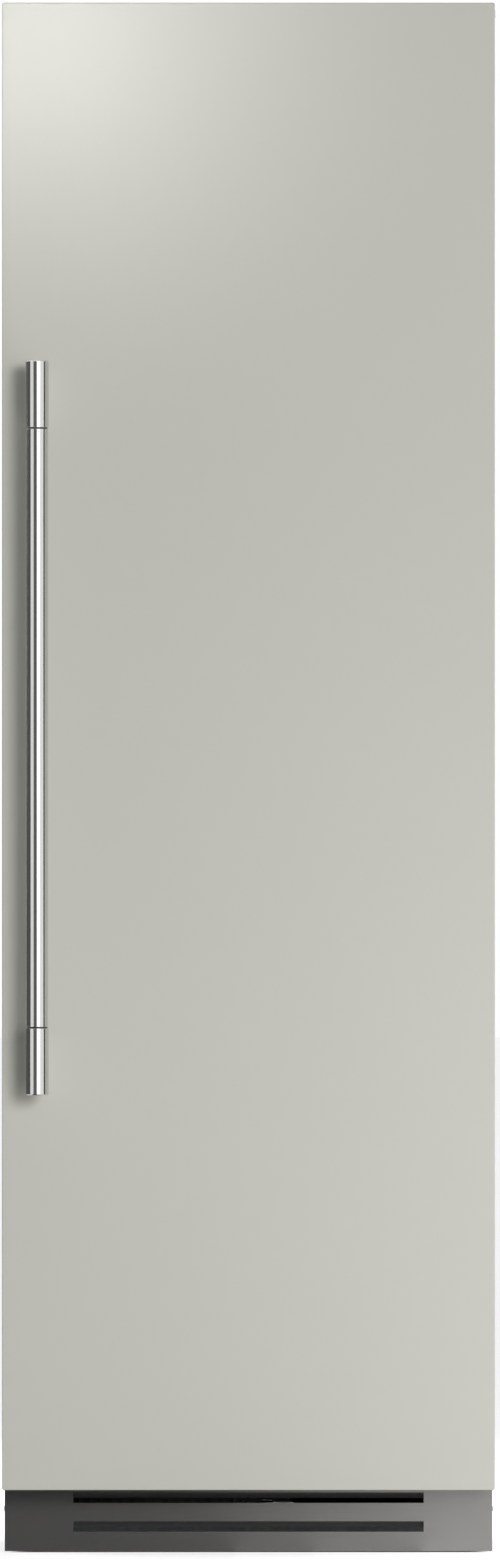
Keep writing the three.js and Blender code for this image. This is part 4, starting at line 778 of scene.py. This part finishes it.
def add_tub(name, node, finish, corner, wall, draft, rim, lip, bend=5):
    """An open tub, its sizes in millimetres: one profile that runs up the outside, over the rim,
    down the inside and across the floor, carried round a rounded rectangle."""
    box = sides_of(node)
    floor, top = box[[BOTTOM, TOP]]
    corner, wall, draft, rim, lip, bend = mm(corner, wall, draft, rim, lip, bend)
    foot = rim + draft
    profile = filleted([
        (foot + 3 * bend, floor), (foot, floor), (rim, top - lip), (0, top - lip), (0, top),
        (rim + wall, top), (foot + wall, floor + wall), (foot + wall + 3 * bend, floor + wall),
    ], [0, bend, *mm(0.8, 0.6, 0.8, 0.9), bend, 0])
    add_piece(name, [carried("z", box[FROM_ABOVE], corner, profile)], finish, [node])


class FREEZER_OT_tubs(bpy.types.Operator):
    """Moulds the door bins, drawers, ice bin and drain pan"""
    bl_idname = "freezer.tubs"
    bl_label = "Bins, drawers and pans"

    def execute(self, context):
        for index in BINS:
            add_tub(f"bin_tub_{index}", f"door_bin_{index}", "clear_plastic",
                    corner=16, wall=2.5, draft=4, rim=7, lip=3)
        for place in ("lower", "upper"):
            add_tub("drawer_tub_" + place, "drawer_box_" + place, "clear_plastic",
                    corner=20, wall=3, draft=6, rim=16, lip=3)
        add_tub("ice_tub", "ice_bin", "clear_plastic", corner=22, wall=3, draft=6, rim=6, lip=3)
        add_tub("drain_tub", "drain_pan", "grey_plastic", corner=18, wall=2, draft=2, rim=2, lip=2, bend=4)
        return {"FINISHED"}


class FREEZER_OT_compartment(bpy.types.Operator):
    """Moulds the compartment's liner with its ribs, and makes the shelves and drawer fronts"""
    bl_idname = "freezer.compartment"
    bl_label = "Compartment"

    def execute(self, context):
        self.liner(context.scene.freezer_sizes.liner_corner)
        for index in SHELVES:
            self.shelf(index)
        for place in ("lower", "upper"):
            self.drawer_front(place)
        return {"FINISHED"}

    def liner(self, corner):
        """A mouth carried back to a rounded back wall, with a rib under each shelf and drawer."""
        box = sides_of("inner_liner")
        front, back = box[[FRONT, BACK]]
        wall, flange, reach, bend, crisp, least = mm(2.5, 15.7, 70, 20, 0.4, 6)
        mouth = grown(box[FROM_FRONT], -flange)
        profile = filleted([
            (reach, back - wall), (0, back - wall), (0, front), (-flange, front), (-flange, front + wall),
            (-wall, front + wall), (-wall, back), (reach, back),
        ], [0, bend, 2.2 * MM, crisp, crisp, 0.5 * MM, bend, 0], 8)
        rects, _, places = rimmed(mouth, corner, profile)
        radii = [crisp, corner, corner, least]
        radii = np.interp(profile[:, 0], [-flange, -wall, 0, corner - least], radii)
        shapes = [stacked("y", rects, radii, places)]
        gap, rib, lap, root, tip = mm(0.3, 14, 1, 12.6, 9)
        shelves = [sides_of(f"shelf_{index}") for index in SHELVES]
        drawers = [sides_of("drawer_box_" + place) for place in ("lower", "upper")]
        seats = [(shelf[BOTTOM] - gap, shelf[FRONT]) for shelf in shelves]
        seats += [(drawer[TOP] - TUB_RIM, drawer[FRONT]) for drawer in drawers]
        rib_back = sides_of("evaporator_cover")[FRONT] - gap
        for top, rib_front in seats:
            for (_, side), place in zip(HANDS, mouth):
                inner, outer = place - side * rib, place + side * lap
                shapes.append(bar("y", rib_front, rib_back, [
                    (inner, top), (outer, top), (outer, top - root), (inner, top - tip),
                ], mm(1.4, 0.2, 0.2, 3), 5))
        add_piece("compartment_liner", shapes, "white_plastic", ["inner_liner"])

    def shelf(self, index):
        """A pane with rounded edges, and a channel of metal over its front edge."""
        box = sides_of(f"shelf_{index}")
        left, right, front, _, bottom, top = box
        recess, corner, under, over, lap, edge = mm(4, 12, 0.5, 0.3, 9, 0.9)
        rect = box[FROM_ABOVE] + np.array([0, 0, recess, 0])
        pane = slab(rect, corner, bottom + under, top - over, lap, edge, 4)
        add_piece(f"shelf_pane_{index}", [pane], "shelf_glass", [f"shelf_{index}"])
        trim, inside, cut, bevel, lower, upper = mm(11, 3, 2, 1, 0.45, 0.25)
        trim, inside, cut = front + trim, front + inside, front + cut
        channel = bar("x", left, right, [
            (front, bottom + bevel), (cut, bottom), (trim, bottom), (trim, bottom + lower),
            (inside, bottom + lower), (inside, top - upper), (trim, top - upper), (trim, top), (cut, top),
            (front, top - bevel)], 0.1 * MM, 3)
        add_piece(f"shelf_trim_{index}", [channel], "aluminium", body="cabinet")

    def drawer_front(self, place):
        """A sheet folded forwards at its top into a lip and down into a grip."""
        left, right, _, back, bottom, top = sides_of("drawer_front_" + place)
        sheet, lip, grip = mm(5, 24, 24)
        face = back - sheet
        nose = face - lip
        shape = bar("x", left, right, [
            (back, bottom), (back, top), (nose, top), (nose, top - grip), (nose + sheet, top - grip),
            (nose + sheet, top - sheet), (face, top - sheet), (face, bottom),
        ], mm(1, 1.4, 3.2, 2, 2, 2, 3, 1), 6)
        add_piece("drawer_face_" + place, [shape], "aluminium", ["drawer_front_" + place])


class FREEZER_OT_fans(bpy.types.Operator):
    """Moulds both fan rotors: twisted, cambered blades on a hub"""
    bl_idname = "freezer.fans"
    bl_label = "Fan rotors"

    def execute(self, context):
        turns = np.linspace(0, FULL_TURN, 5, endpoint=False)
        for name in ("evaporator_fan", "condenser_fan"):
            axis = joint_place(name + "_spin")
            shapes = [self.hub(axis), *(self.blade(axis, turn) for turn in turns)]
            add_piece(name + "_rotor", shapes, "black_plastic", [name])
        return {"FINISHED"}

    def hub(self, axis):
        """A cup turned about the axis, with a boss inside it."""
        outer, inner, boss, bore, pip, start, half, face, well = mm(17, 14.6, 6, 2.9, 1, 2, 10, 3, 4.4)
        front, back = axis[1] - half, axis[1] + half
        profile = filleted([
            (start, front), (outer, front), (outer, back), (inner, back), (inner, front + face),
            (boss, front + face), (boss, back), (bore, back), (bore, front + well), (pip, front + well),
        ], mm(0, 3, 0.4, 0.4, 1, 1, 0.4, 0.4, 0.4, 0), 4)
        return turned(profile, (axis[0], 0, axis[2]), "y", sides=48)

    def blade(self, axis, turn):
        """Span share s runs out along the radius and angle a round the section: chord * cos a / 2
        along it, half the thickness * sin a across it, raised by a camber of 1 - cos a squared. The
        section is turned by a pitch that eases with s, and bent round the axis at its radius."""
        root, length, root_chord, more_chord, half_thickness = mm(15.6, 40.4, 24, 20, 0.95)
        root_pitch, pitch_loss, sweep, squash = 52, 28, 0.12, 0.92
        rounding, thinning, camber_share = 0.4, 0.35, 0.07
        span = np.linspace(0, 1, 15)[:, None]
        around = np.linspace(0, FULL_TURN, 24, endpoint=False)
        radius = root + length * span
        chord = (root_chord + more_chord * span) * (1 - rounding * span ** 10)
        pitch = np.radians(root_pitch - pitch_loss * span)
        along = chord * np.cos(around) / 2
        camber = camber_share * chord * (1 - np.cos(around) ** 2)
        across = half_thickness * (1 - thinning * span) * np.sin(around) + camber
        swing = along * np.cos(pitch) - across * np.sin(pitch)
        depth = along * np.sin(pitch) + across * np.cos(pitch)
        angle = turn + swing / radius + sweep * span ** 2
        x, z = axis[0] + radius * np.cos(angle), axis[2] + radius * np.sin(angle)
        return patch(on_axis("y", x, z, axis[1] + squash * depth))


class FREEZER_OT_ice(bpy.types.Operator):
    """Makes the ice maker, the shut-off arm's wire, the touch panel and the ceiling light"""
    bl_idname = "freezer.ice"
    bl_label = "Ice maker, panel and light"

    def execute(self, context):
        self.maker()
        self.arm()
        self.panel()
        self.light()
        return {"FINISHED"}

    def maker(self):
        """A mould and a gear box of one section, cut at its front corners, with the stub that the
        arm turns on, the bars over the mould and a switch cover."""
        left, stub_end, front, back, bottom, top = sides_of("ice_maker")
        pivot = joint_place("ice_maker_arm_swing")
        right = pivot[0]
        margin, chamfer, gear_box, lap = mm(7, 22, 34, 4)
        box_left = right - gear_box
        near, high = front + margin, top - margin

        def box(start, end, inset, cut, bend):
            """The section set in all round, with its two front corners cut, from start to end."""
            fore, low, crown = front + inset, bottom + inset, top - inset
            return bar("x", start, end, [
                (back, low), (back, crown), (fore + cut, crown), (fore, crown - cut), (fore, low + cut),
                (fore + cut, low)], bend, 5)

        core, stub, start = mm(1, 3, 2)
        start = right - start
        profile = filleted([(core, start), (stub, start), (stub, stub_end), (core, stub_end)],
                           mm(0, 0.3, 0.8, 0), 3)
        shapes = [
            box(left, box_left + lap, margin, chamfer, 3 * MM),
            box(box_left, right, 0, margin, 2 * MM),
            turned(profile, (0, pivot[1], pivot[2]), "x", sides=32),
        ]
        half, ahead, behind, sunk, proud, inset = mm(4, 3, 40, 2, 4, 22)
        for x in np.linspace(left + inset, box_left - inset, 7):
            shapes.append(soft_box((x - half, near + chamfer + ahead, high - sunk),
                                   (x + half, back - behind, high + proud), 1.6 * MM))
        inset, proud, sunk, lower, upper = mm(10, 1, 3, 34, 16)
        shapes.append(soft_box((box_left + inset, front - proud, high - lower),
                               (right - inset, front + sunk, high - upper), 0.8 * MM))
        add_piece("ice_maker_housing", shapes, "grey_plastic", ["ice_maker"])

    def arm(self):
        """A wire bent into a bail, and the ring that it turns in."""
        pivot = joint_place("ice_maker_arm_swing")
        start, front, droop, width, hub, bore = mm(3.8, -62, -34, 186, 7, 3.4)
        lead, tuck, tail, climb, gauge, near, length = mm(2, 2.6, 26, 13, 1.8, 0.3, 7.3)
        far = start - width
        wire = tube(smoothed([
            (start + lead, -hub + tuck, 0), (start, front, droop), (far, front, droop),
            (far, front + tail, droop + climb)]), gauge)
        collar = ring((bore, near), (hub, length), 0.5 * MM, 4, (0, 0, 0), "x", sides=40)
        shapes = [moved(wire, pivot), moved(collar, pivot)]
        add_piece("ice_arm_wire", shapes, "galvanised", ["ice_maker_arm"], sharp=60)

    def panel(self):
        """A glass with a sloped face, and under it six rings and a bar that mark its keys."""
        left, right, front, back, bottom, top = sides_of("control_panel")
        slope, lip = mm(14, 8)
        glass = bar("x", left, right, [
            (front, top), (front, top - lip), (front + slope, bottom), (back, bottom), (back, top),
        ], mm(0.5, 2, 3, 3, 0.5), 5)
        add_piece("touch_panel", [glass], "panel_glass", ["control_panel"])
        middle = (left + right) / 2
        depth = front + slope + (back - front - slope) / 2
        inner, outer, step, proud, sunk, half_bar, half_width = mm(3.1, 3.7, 24, 0.1, 0.4, 9, 2.4)
        marks = [ring((inner, bottom - proud), (outer, bottom + sunk), 0.04 * MM, 2,
                      (middle + place * step, depth, 0), sides=32) for place in (-3, -2, -1, 1, 2, 3)]
        marks.append(soft_box((middle - half_bar, depth - half_width, bottom - proud),
                              (middle + half_bar, depth + half_width, bottom + 0.3 * MM), 0.19 * MM, 2))
        add_piece("touch_marks", marks, "white_plastic", body="cabinet")

    def light(self):
        """A lens with a rounded rim, carried round a rounded rectangle."""
        box = sides_of("ceiling_light")
        bottom, top = box[[BOTTOM, TOP]]
        inner, draft, brim, outer = mm(11, 3.5, 3.4, 8.4)
        profile = filleted([
            (inner, bottom), (draft, bottom), (0, top - brim), (0, top), (outer, top),
        ], mm(0, 4, 1, 0.3, 0), 6)
        shape = carried("z", box[FROM_ABOVE], 9 * MM, profile)
        add_piece("light_lens", [shape], "light_lens", ["ceiling_light"])


class FREEZER_OT_base(bpy.types.Operator):
    """Turns the levelling legs and rollers, and makes the compressor and the power inlet"""
    bl_idname = "freezer.base"
    bl_label = "Legs, rollers, compressor and inlet"

    def execute(self, context):
        for place, _ in HANDS:
            self.leg(place)
            self.roller(place)
        self.compressor()
        self.inlet()
        return {"FINISHED"}

    def leg(self, place):
        """A turned foot, and a screw whose radius rises and falls with height / pitch - a / turn."""
        left, right, front, back, _, top = sides_of("levelling_leg_" + place)
        centre = ((left + right) / 2, (front + back) / 2, 0)
        stem, outer, edge, neck, flat = mm(4, 19.6, 4, 13, 8)
        foot = filleted([(stem, 0), (outer, 0), (outer, edge), (neck, flat), (stem, flat)],
                        mm(0, 1, 1.6, 1, 0), 4)
        start, root, depth, pitch = mm(7, 5.3, 0.7, 1.75)
        angle = np.linspace(0, FULL_TURN, 36, endpoint=False)
        height = np.linspace(start, top, 140)[:, None]
        phase = (height / pitch - angle / FULL_TURN) % 1
        radius = root + depth * (1 - np.abs(2 * phase - 1))
        x, y = centre[0] + radius * np.cos(angle), centre[1] + radius * np.sin(angle)
        shapes = [turned(foot, centre), patch(on_axis("z", x, y, height))]
        add_piece("leg_screw_" + place, shapes, "black_plastic", ["levelling_leg_" + place], sharp=50)

    def roller(self, place):
        """A wheel with a groove in each side: half its profile, then the same mirrored."""
        left, right, _, _, bottom, top = sides_of("rear_roller_" + place)
        axis = joint_place(f"rear_roller_{place}_spin")
        half, radius = (right - left) / 2, (top - bottom) / 2
        bore, boss, groove, groove_end, rim, depth, cut, bevel = mm(4.5, 8, 8.6, 13.4, 14, 2, 2, 2.4)
        side = [(bore, 0), (boss, 0), (groove, depth), (groove_end, depth), (rim, 0), (radius - cut, 0),
                (radius, bevel)]
        profile = [(r, -half + inset) for r, inset in side]
        profile += [(r, half - inset) for r, inset in reversed(side)]
        profile = filleted(profile, 0.5 * MM, 3, closed=True) + np.array([0, axis[0]])
        shape = turned(profile, (0, axis[1], axis[2]), "x", sides=72, circular=True)
        add_piece("roller_wheel_" + place, [shape], "black_plastic", ["rear_roller_" + place])

    def compressor(self):
        """A can of two domes with a seam between, on a plate with four cushions, with a cover over
        its leads. The domes' inset falls and their height rises as a quarter of an ellipse does."""
        left, right, front, back, bottom, top = sides_of("compressor")
        lift, grommet, sheet, margin, behind, depth = mm(9, 9, 3, 16, 3, 150)
        foot, can_left, can_right = bottom + lift, left + margin, right - margin
        can_back = back - behind
        can_front = can_back - depth
        middle = (foot + top) / 2
        bend = np.linspace(0, QUARTER, 14)
        dome_reach, dome_height = mm(52, 50)
        inset, rise = dome_reach * (1 - np.sin(bend)), dome_height * (1 - np.cos(bend))
        reach, shoulder, bead, proud = mm(14, 2.2, 1.5, 3)
        seam = filleted([
            (0, middle - reach), (0, middle - shoulder), (-proud, middle - bead), (-proud, middle + bead),
            (0, middle + shoulder), (0, middle + reach)], 0.6 * MM, 3)
        profile = np.concatenate([
            np.stack([inset, foot + rise], axis=1), seam, np.stack([inset, top - rise], axis=1)[::-1]])
        corner, plate_corner, lap, edge = mm(66, 12, 12, 1)
        shapes = [
            carried("z", (can_left, can_right, can_front, can_back), corner, profile, steps=14),
            slab((left, right, can_front, can_back), plate_corner, foot, foot + sheet, lap, edge, 3),
        ]
        hole, brim, waist, waist_height = mm(3, 9, 7, 4.5)
        crown = foot + 2 * sheet
        cushion = filleted([
            (hole, bottom), (brim, bottom), (waist, bottom + waist_height), (brim, foot), (brim, crown),
            (hole, crown)], mm(0, 1.4, 1.5, 1, 1.4, 0), 4)
        for x in (left + grommet, right - grommet):
            for y in (can_front + grommet, can_back - grommet):
                shapes.append(turned(cushion, (x, y, 0), sides=32))
        centre = (can_left + can_right) / 2
        half_cover, half_height = mm(26, 22)
        shapes.append(soft_box((centre - half_cover, front, middle - half_height),
                               (centre + half_cover, front + half_cover, middle + half_height), 3 * MM))
        add_piece("compressor_can", shapes, "black_steel", ["compressor"])

    def inlet(self):
        """A socket's body behind a plate, with its well, in rounded rectangles, and three pins."""
        box = sides_of("power_inlet")
        front, back = box[[FRONT, BACK]]
        rect = box[FROM_FRONT]
        across, up, wall, sheet, edge = mm(9.5, 4.5, 2.5, 1, 0.3)
        body = rect + np.array([across, -across, up, -up])
        inside = grown(body, -wall)
        rects = [inside, inside, rect, rect, rect, body, body]
        places = [front + wall, back, back, back - edge, back - sheet, back - sheet, front]
        shapes = [stacked("y", rects, mm(1.5, 1.5, 3.6, 4, 4, 4, 4), places)]
        middle = np.array([(rect[0] + rect[1]) / 2, 0, (rect[2] + rect[3]) / 2])
        start, end, bend = mm(1, 3, 0.5)
        half_width, half_height = 1, 2
        for x, z in ((-6, -2.2), (0, 2.2), (6, -2.2)):
            low = middle + np.array(mm(x - half_width, 0, z - half_height))
            high = middle + np.array(mm(x + half_width, 0, z + half_height))
            low[1], high[1] = front + start, back - end
            shapes.append(soft_box(low, high, bend, 2))
        add_piece("inlet_socket", shapes, "black_plastic", ["power_inlet"])


# Where the screws stand across the service cover, the back and the top, and up the sides
COVER_SCREWS = (-0.29, -0.1, 0.1, 0.19, 0.3)
BACK_SCREWS = (-0.3, -0.166, 0.0, 0.166, 0.3)
TOP_SCREWS = (-0.3, 0.0, 0.3)
SIDE_SCREWS = (0.06, 0.62, 1.18, 1.74, 2.1)


class FREEZER_OT_screws(bpy.types.Operator):
    """Sets the screws of the panels, the service cover and the hinge leaves"""
    bl_idname = "freezer.screws"
    bl_label = "Screws"

    def execute(self, context):
        cover, panel = sides_of("rear_service_cover"), sides_of("back_panel")
        roof = sides_of("top_panel")
        cover_edge, edge, hem, fore_edge, leaf_edge, leaf = mm(8, 12, 30, 14, 13.4, 4)
        rows = [
            ("y", 1, COVER_SCREWS, [cover[BACK]], (cover[BOTTOM] + cover_edge, cover[TOP] - cover_edge)),
            ("y", 1, BACK_SCREWS, [panel[BACK]], (panel[BOTTOM] + edge, panel[TOP] - hem))]
        for place, side in HANDS:
            box = sides_of("side_panel_" + place)
            outer = box[RIGHT if side > 0 else LEFT]
            rows.append(("x", side, [outer], (box[FRONT] + fore_edge, box[BACK] - edge), SIDE_SCREWS))
        rows.append(("z", 1, TOP_SCREWS, (roof[FRONT] + edge, roof[BACK] - edge), [roof[TOP]]))
        heads = [self.head((x, y, z), axis, way) for axis, way, across, deep, up in rows
                 for x in across for y in deep for z in up]
        add_piece("panel_screws", heads, "galvanised", body="cabinet", sharp=50)
        leaves = []
        for (inwards, plate), end in zip(hinge_ends(), ("top", "bottom")):
            box = sides_of("hinge_plate_" + end)
            x, y = box[RIGHT] - leaf_edge, box[BACK] - leaf
            leaves += [self.head((x, y, plate + inwards * rise), "y", -1) for rise in mm(26, 50, 74)]
        add_piece("hinge_screws", leaves, "black_steel", body="cabinet", sharp=50)
        return {"FINISHED"}

    def head(self, centre, axis, way):
        """A pan head: a quarter round from its rim inwards, and a round well in its top."""
        radius, height, bevel, sunk, rim, mouth, well, core = mm(3.6, 1.1, 1.4, 0.3, 1, 1.5, 1.4, 0.5)
        bend = np.linspace(0, QUARTER, 6)
        dome = np.stack([radius - bevel + bevel * np.cos(bend), height * np.sin(bend)], axis=1)
        profile = np.concatenate([
            [(radius - rim, -sunk), (radius, -sunk)], dome, [(mouth, height), (well, sunk), (core, sunk)]])
        along = "xyz".index(axis)
        place = np.array(centre, float)
        profile = profile * np.array([1, way]) + np.array([0, place[along]])
        place[along] = 0
        return turned(profile, place, axis, sides=18)


# Stage

WHITE = (1, 1, 1, 1)
# The camera in metres, and its sensor and lens in millimetres
CAMERA_PLACE, FARTHEST, SENSOR, LENS = (0.00167, -30.272, 1.0668), 200, 36, 502.6
# The sun: its direction, power and width in degrees
SUN_WAY, SUN_POWER, SUN_ANGLE = (-0.36, 0.915, -0.185), 2.06, 21
# The disk that lights the door: place, target, width, height, power, and its spread in degrees
DOOR_GLOW, DOOR_SPREAD = ((-0.30, -1.17, 2.12), (-0.30, 0, 2.12), 0.26, None, 0.45), 64
CARD_RADIUS, CARD_BOTTOM, CARD_TOP, CARD_STEPS = 2.4, 0.35, 1.9, 12
# Upright cards about the handle: start and end in degrees to the right of straight ahead, strength
ARC_CARDS = (
    ("dark_left", -37, -4, 0.13), ("strip_left", -71, -37, 0.88), ("dark_far_left", -178, -72, 0.09),
    ("bright_right", -1, 31, 1.7), ("grey_right", 32, 66, 0.93), ("dark_right", 69, 84, 0.03),
    ("soft_right", 84, 104, 0.45))
# Cards before the toe kick: left, right, far edge, height of that edge, strength
LOW_CARDS = (
    ("low_dark", -2.2, -0.02, -2.0, 0.42, 0.03), ("low_dusk", -0.02, 0.09, -2.0, 0.42, 0.3),
    ("low_grey", 0.09, 0.24, -2.0, 0.42, 0.6), ("low_bright", 0.24, 0.9, -0.9, 0.03, 1.15))
# Lamps that no reflection shows: place, target, width, height, power
GLOWS = (
    ("top_glow", (0.35, -1.2, 2.3), (0.30, 0, 1.9), 0.5, None, 0.86),
    ("low_glow", (0.8, -1.2, 0.45), (0.6, 0, 0.45), 0.3, 1.0, 2.0),
    ("right_glow", (1.6, -1.8, 0.6), (0, 0, 0.6), 0.5, 1.2, 6.1),
    ("floor_glow", (-0.5, -1.6, 0.1), (-0.4, 0, 0.1), 1.0, 0.2, 0.8))
# Lamps for the sides and the back, all of one size and power: place, target
FILLS = (
    ("side_fill_left", (-3.6, 1.6, 2.0), (0, 0.1, 1.0)),
    ("side_fill_right", (3.6, 1.6, 2.0), (0, 0.1, 1.0)),
    ("back_fill", (0.4, 4.2, 2.4), (0, 0.3, 1.0)))
FILL_SIZE, FILL_POWER = 1.6, 60


def add_card(name, points, faces, level):
    """A card that only reflections see."""
    mesh = bpy.data.meshes.new(name)
    mesh.from_pydata(points.tolist(), [], faces)
    card = in_scene(name, mesh)
    material = bpy.data.materials.new(name)
    material.use_nodes = True
    tree = material.node_tree
    tree.nodes.clear()
    emission = add_node(tree, "Emission", {"Color": WHITE, "Strength": level})
    feed(tree.nodes.new("ShaderNodeOutputMaterial"), {"Surface": emission})
    mesh.materials.append(material)
    card.visible_camera = card.visible_diffuse = card.visible_shadow = card.visible_transmission = False


def arc_card(name, start, end, level):
    """An upright strip bent about the handle's axis, between two angles from straight ahead."""
    left, right, front, back, _, _ = sides_of("handle_rod")
    angle = np.radians(np.linspace(start, end, CARD_STEPS + 1))
    x = (left + right) / 2 + CARD_RADIUS * np.sin(angle)
    y = (front + back) / 2 - CARD_RADIUS * np.cos(angle)
    height = np.array([CARD_BOTTOM, CARD_TOP])[:, None]
    first = np.arange(CARD_STEPS)
    above = first + CARD_STEPS + 1
    faces = np.stack([first, first + 1, above + 1, above], axis=-1).tolist()
    add_card(name, on_axis("z", x, y, height).reshape(-1, 3), faces, level)


def low_card(name, left, right, far, top, level):
    """A card that lies on the floor before the toe kick and bends upright at its far edge."""
    near, rise = sides_of("toe_kick")[FRONT] - 3 * MM, 0.5 * MM
    bend = ((near, rise), (far, rise), (far, top))
    points = np.array([(x, y, z) for y, z in bend for x in (left, right)])
    add_card(name, points, [(0, 1, 3, 2), (2, 3, 5, 4)], level)


def facing(way):
    """The turn that points a lamp or a camera along a direction."""
    return Vector(way).to_track_quat("-Z", "Y").to_euler()


def add_lamp(name, place, target, width, height, power):
    """An area lamp at a place, turned to a target: a disk, or a rectangle if it has a height."""
    lamp = bpy.data.lights.new(name, "AREA")
    lamp.shape = "RECTANGLE" if height else "DISK"
    lamp.size = width
    if height:
        lamp.size_y = height
    lamp.energy = power
    holder = in_scene(name, lamp)
    holder.location = place
    holder.rotation_euler = facing(Vector(target) - Vector(place))
    return holder


def seen_ray(tree, seen, otherwise):
    """The strength that camera, glossy and transmitted rays see, and what other rays see."""
    camera, glossy, through = (add_node(tree, "LightPath", output=f"Is {kind} Ray")
                               for kind in ("Camera", "Glossy", "Transmission"))
    either = add_node(tree, "Math", {0: camera, 1: glossy}, operation="MAXIMUM")
    any_of = add_node(tree, "Math", {0: either, 1: through}, operation="MAXIMUM")
    return add_node(tree, "MapRange", {"Value": any_of, "To Min": otherwise, "To Max": seen}, "Result")


def uncovered(tree):
    """Painted shade for the floor under the cabinet: little under the cabinet and 1 beyond its outline,
    with a soft edge between: the larger of |x| and |y| from the cabinet's middle, as shares of half its width and
    half its depth."""
    left, right, _, back, _, _ = sides_of("base_pan")
    front = sides_of("toe_kick")[FRONT] - 10 * MM
    middle = ((left + right) / 2, (front + back) / 2, 0)
    half = ((right - left) / 2, (back - front) / 2, 1)
    where = add_node(tree, "TexCoord", output="Object")
    centred = {"Vector": where, "Location": middle, "Scale": half}
    share = add_node(tree, "Mapping", centred, vector_type="TEXTURE")
    size = add_node(tree, "VectorMath", {0: share}, operation="ABSOLUTE")
    parts = add_node(tree, "SeparateXYZ", {0: size}).node.outputs
    reach = add_node(tree, "Math", {0: parts["X"], 1: parts["Y"]}, operation="MAXIMUM")
    edge = {"Value": reach, "From Min": 0.93, "From Max": 1.0, "To Min": 0.06}
    return add_node(tree, "MapRange", edge, "Result", interpolation_type="SMOOTHSTEP")


class FREEZER_OT_stage(bpy.types.Operator):
    """Lays the floor and sets the light, the cards that the metal reflects and the camera"""
    bl_idname = "freezer.stage"
    bl_label = "Stage"

    def execute(self, context):
        scene = context.scene
        scene.view_settings.view_transform = "Standard"
        self.world(scene)
        self.floor()
        self.lamps()
        for card in ARC_CARDS:
            arc_card(*card)
        for card in LOW_CARDS:
            low_card(*card)
        self.camera(scene)
        return {"FINISHED"}

    def world(self, scene):
        """White where the camera looks past the freezer and nearly dark for the light it gives."""
        world = bpy.data.worlds.new("studio")
        scene.world = world
        world.use_nodes = True
        feed(world.node_tree.nodes["Background"], {
            "Color": WHITE, "Strength": seen_ray(world.node_tree, seen=1.0, otherwise=0.06)})

    def floor(self):
        """A pale plane that camera and reflections see glow where the cabinet doesn't cover it, and a painted
        shadow where it does.
        """
        mesh = bpy.data.meshes.new("floor")
        reach = 60
        corners = rectangle((-reach, -reach), (reach, reach))
        mesh.from_pydata([(x, y, 0) for x, y in corners], [], [(0, 1, 2, 3)])
        floor = in_scene("floor", mesh)
        finish = Finish("pale_floor", (0.75, 0.75, 0.75), 0.8)
        seen = seen_ray(finish.tree, seen=0.67, otherwise=0.0)
        # The floor's glow fades under the cabinet into a painted shadow
        glow = add_node(finish.tree, "Math", {0: seen, 1: uncovered(finish.tree)}, operation="MULTIPLY")
        feed(finish.shader, {"Emission Color": WHITE, "Emission Strength": glow})
        mesh.materials.append(finish.material)

    def lamps(self):
        """A soft sun from the front, a glow on the door, glows that no reflection shows, and fills
        for the sides and the back."""
        sun = bpy.data.lights.new("key", "SUN")
        sun.angle = math.radians(SUN_ANGLE)
        sun.energy = SUN_POWER
        key = in_scene("key", sun)
        key.rotation_euler = facing(SUN_WAY)
        key.visible_glossy = False
        add_lamp("door_glow", *DOOR_GLOW).data.spread = math.radians(DOOR_SPREAD)
        for glow in GLOWS:
            add_lamp(*glow).visible_glossy = False
        for fill in FILLS:
            add_lamp(*fill, FILL_SIZE, FILL_SIZE, FILL_POWER)

    def camera(self, scene):
        """A long lens far in front, level with the middle, so the view has hardly any perspective."""
        data = bpy.data.cameras.new("camera")
        data.sensor_width = SENSOR
        data.lens = LENS
        data.clip_end = FARTHEST
        camera = in_scene("camera", data)
        camera.location = CAMERA_PLACE
        camera.rotation_euler = (QUARTER, 0, 0)
        scene.camera = camera


STEPS = (
    FREEZER_OT_finishes, FREEZER_OT_door_skin, FREEZER_OT_handle, FREEZER_OT_door_inside, FREEZER_OT_tubs,
    FREEZER_OT_compartment, FREEZER_OT_fans, FREEZER_OT_ice, FREEZER_OT_base, FREEZER_OT_screws,
    FREEZER_OT_stage,
)


class FREEZER_PT_sidebar(bpy.types.Panel):
    """The freezer's pieces, sizes and colours"""
    bl_idname = "FREEZER_PT_sidebar"
    bl_label = "Column Freezer"
    bl_space_type = "VIEW_3D"
    bl_region_type = "UI"
    bl_category = "Freezer"

    def draw(self, context):
        """Lists every size and colour, then a button for each operator."""
        layout = self.layout
        for group in (context.scene.freezer_sizes, context.scene.freezer_colours):
            for name in group.__annotations__:
                layout.prop(group, name)
        for step in STEPS:
            layout.operator(step.bl_idname)


CLASSES = (FreezerSizes, FreezerColours, *STEPS, FREEZER_PT_sidebar)


def register():
    """Makes the classes and the scene's two groups of settings known."""
    for kind in CLASSES:
        bpy.utils.register_class(kind)
    bpy.types.Scene.freezer_sizes = bpy.props.PointerProperty(type=FreezerSizes)
    bpy.types.Scene.freezer_colours = bpy.props.PointerProperty(type=FreezerColours)


def unregister():
    """Takes away what register made known."""
    del bpy.types.Scene.freezer_sizes
    del bpy.types.Scene.freezer_colours
    for kind in reversed(CLASSES):
        bpy.utils.unregister_class(kind)


def main():
    """Builds every piece and the stage."""
    register()
    for step in STEPS:
        group, name = step.bl_idname.split(".")
        getattr(getattr(bpy.ops, group), name)()
    bpy.context.view_layer.update()


if __name__ == "__main__":
    main()
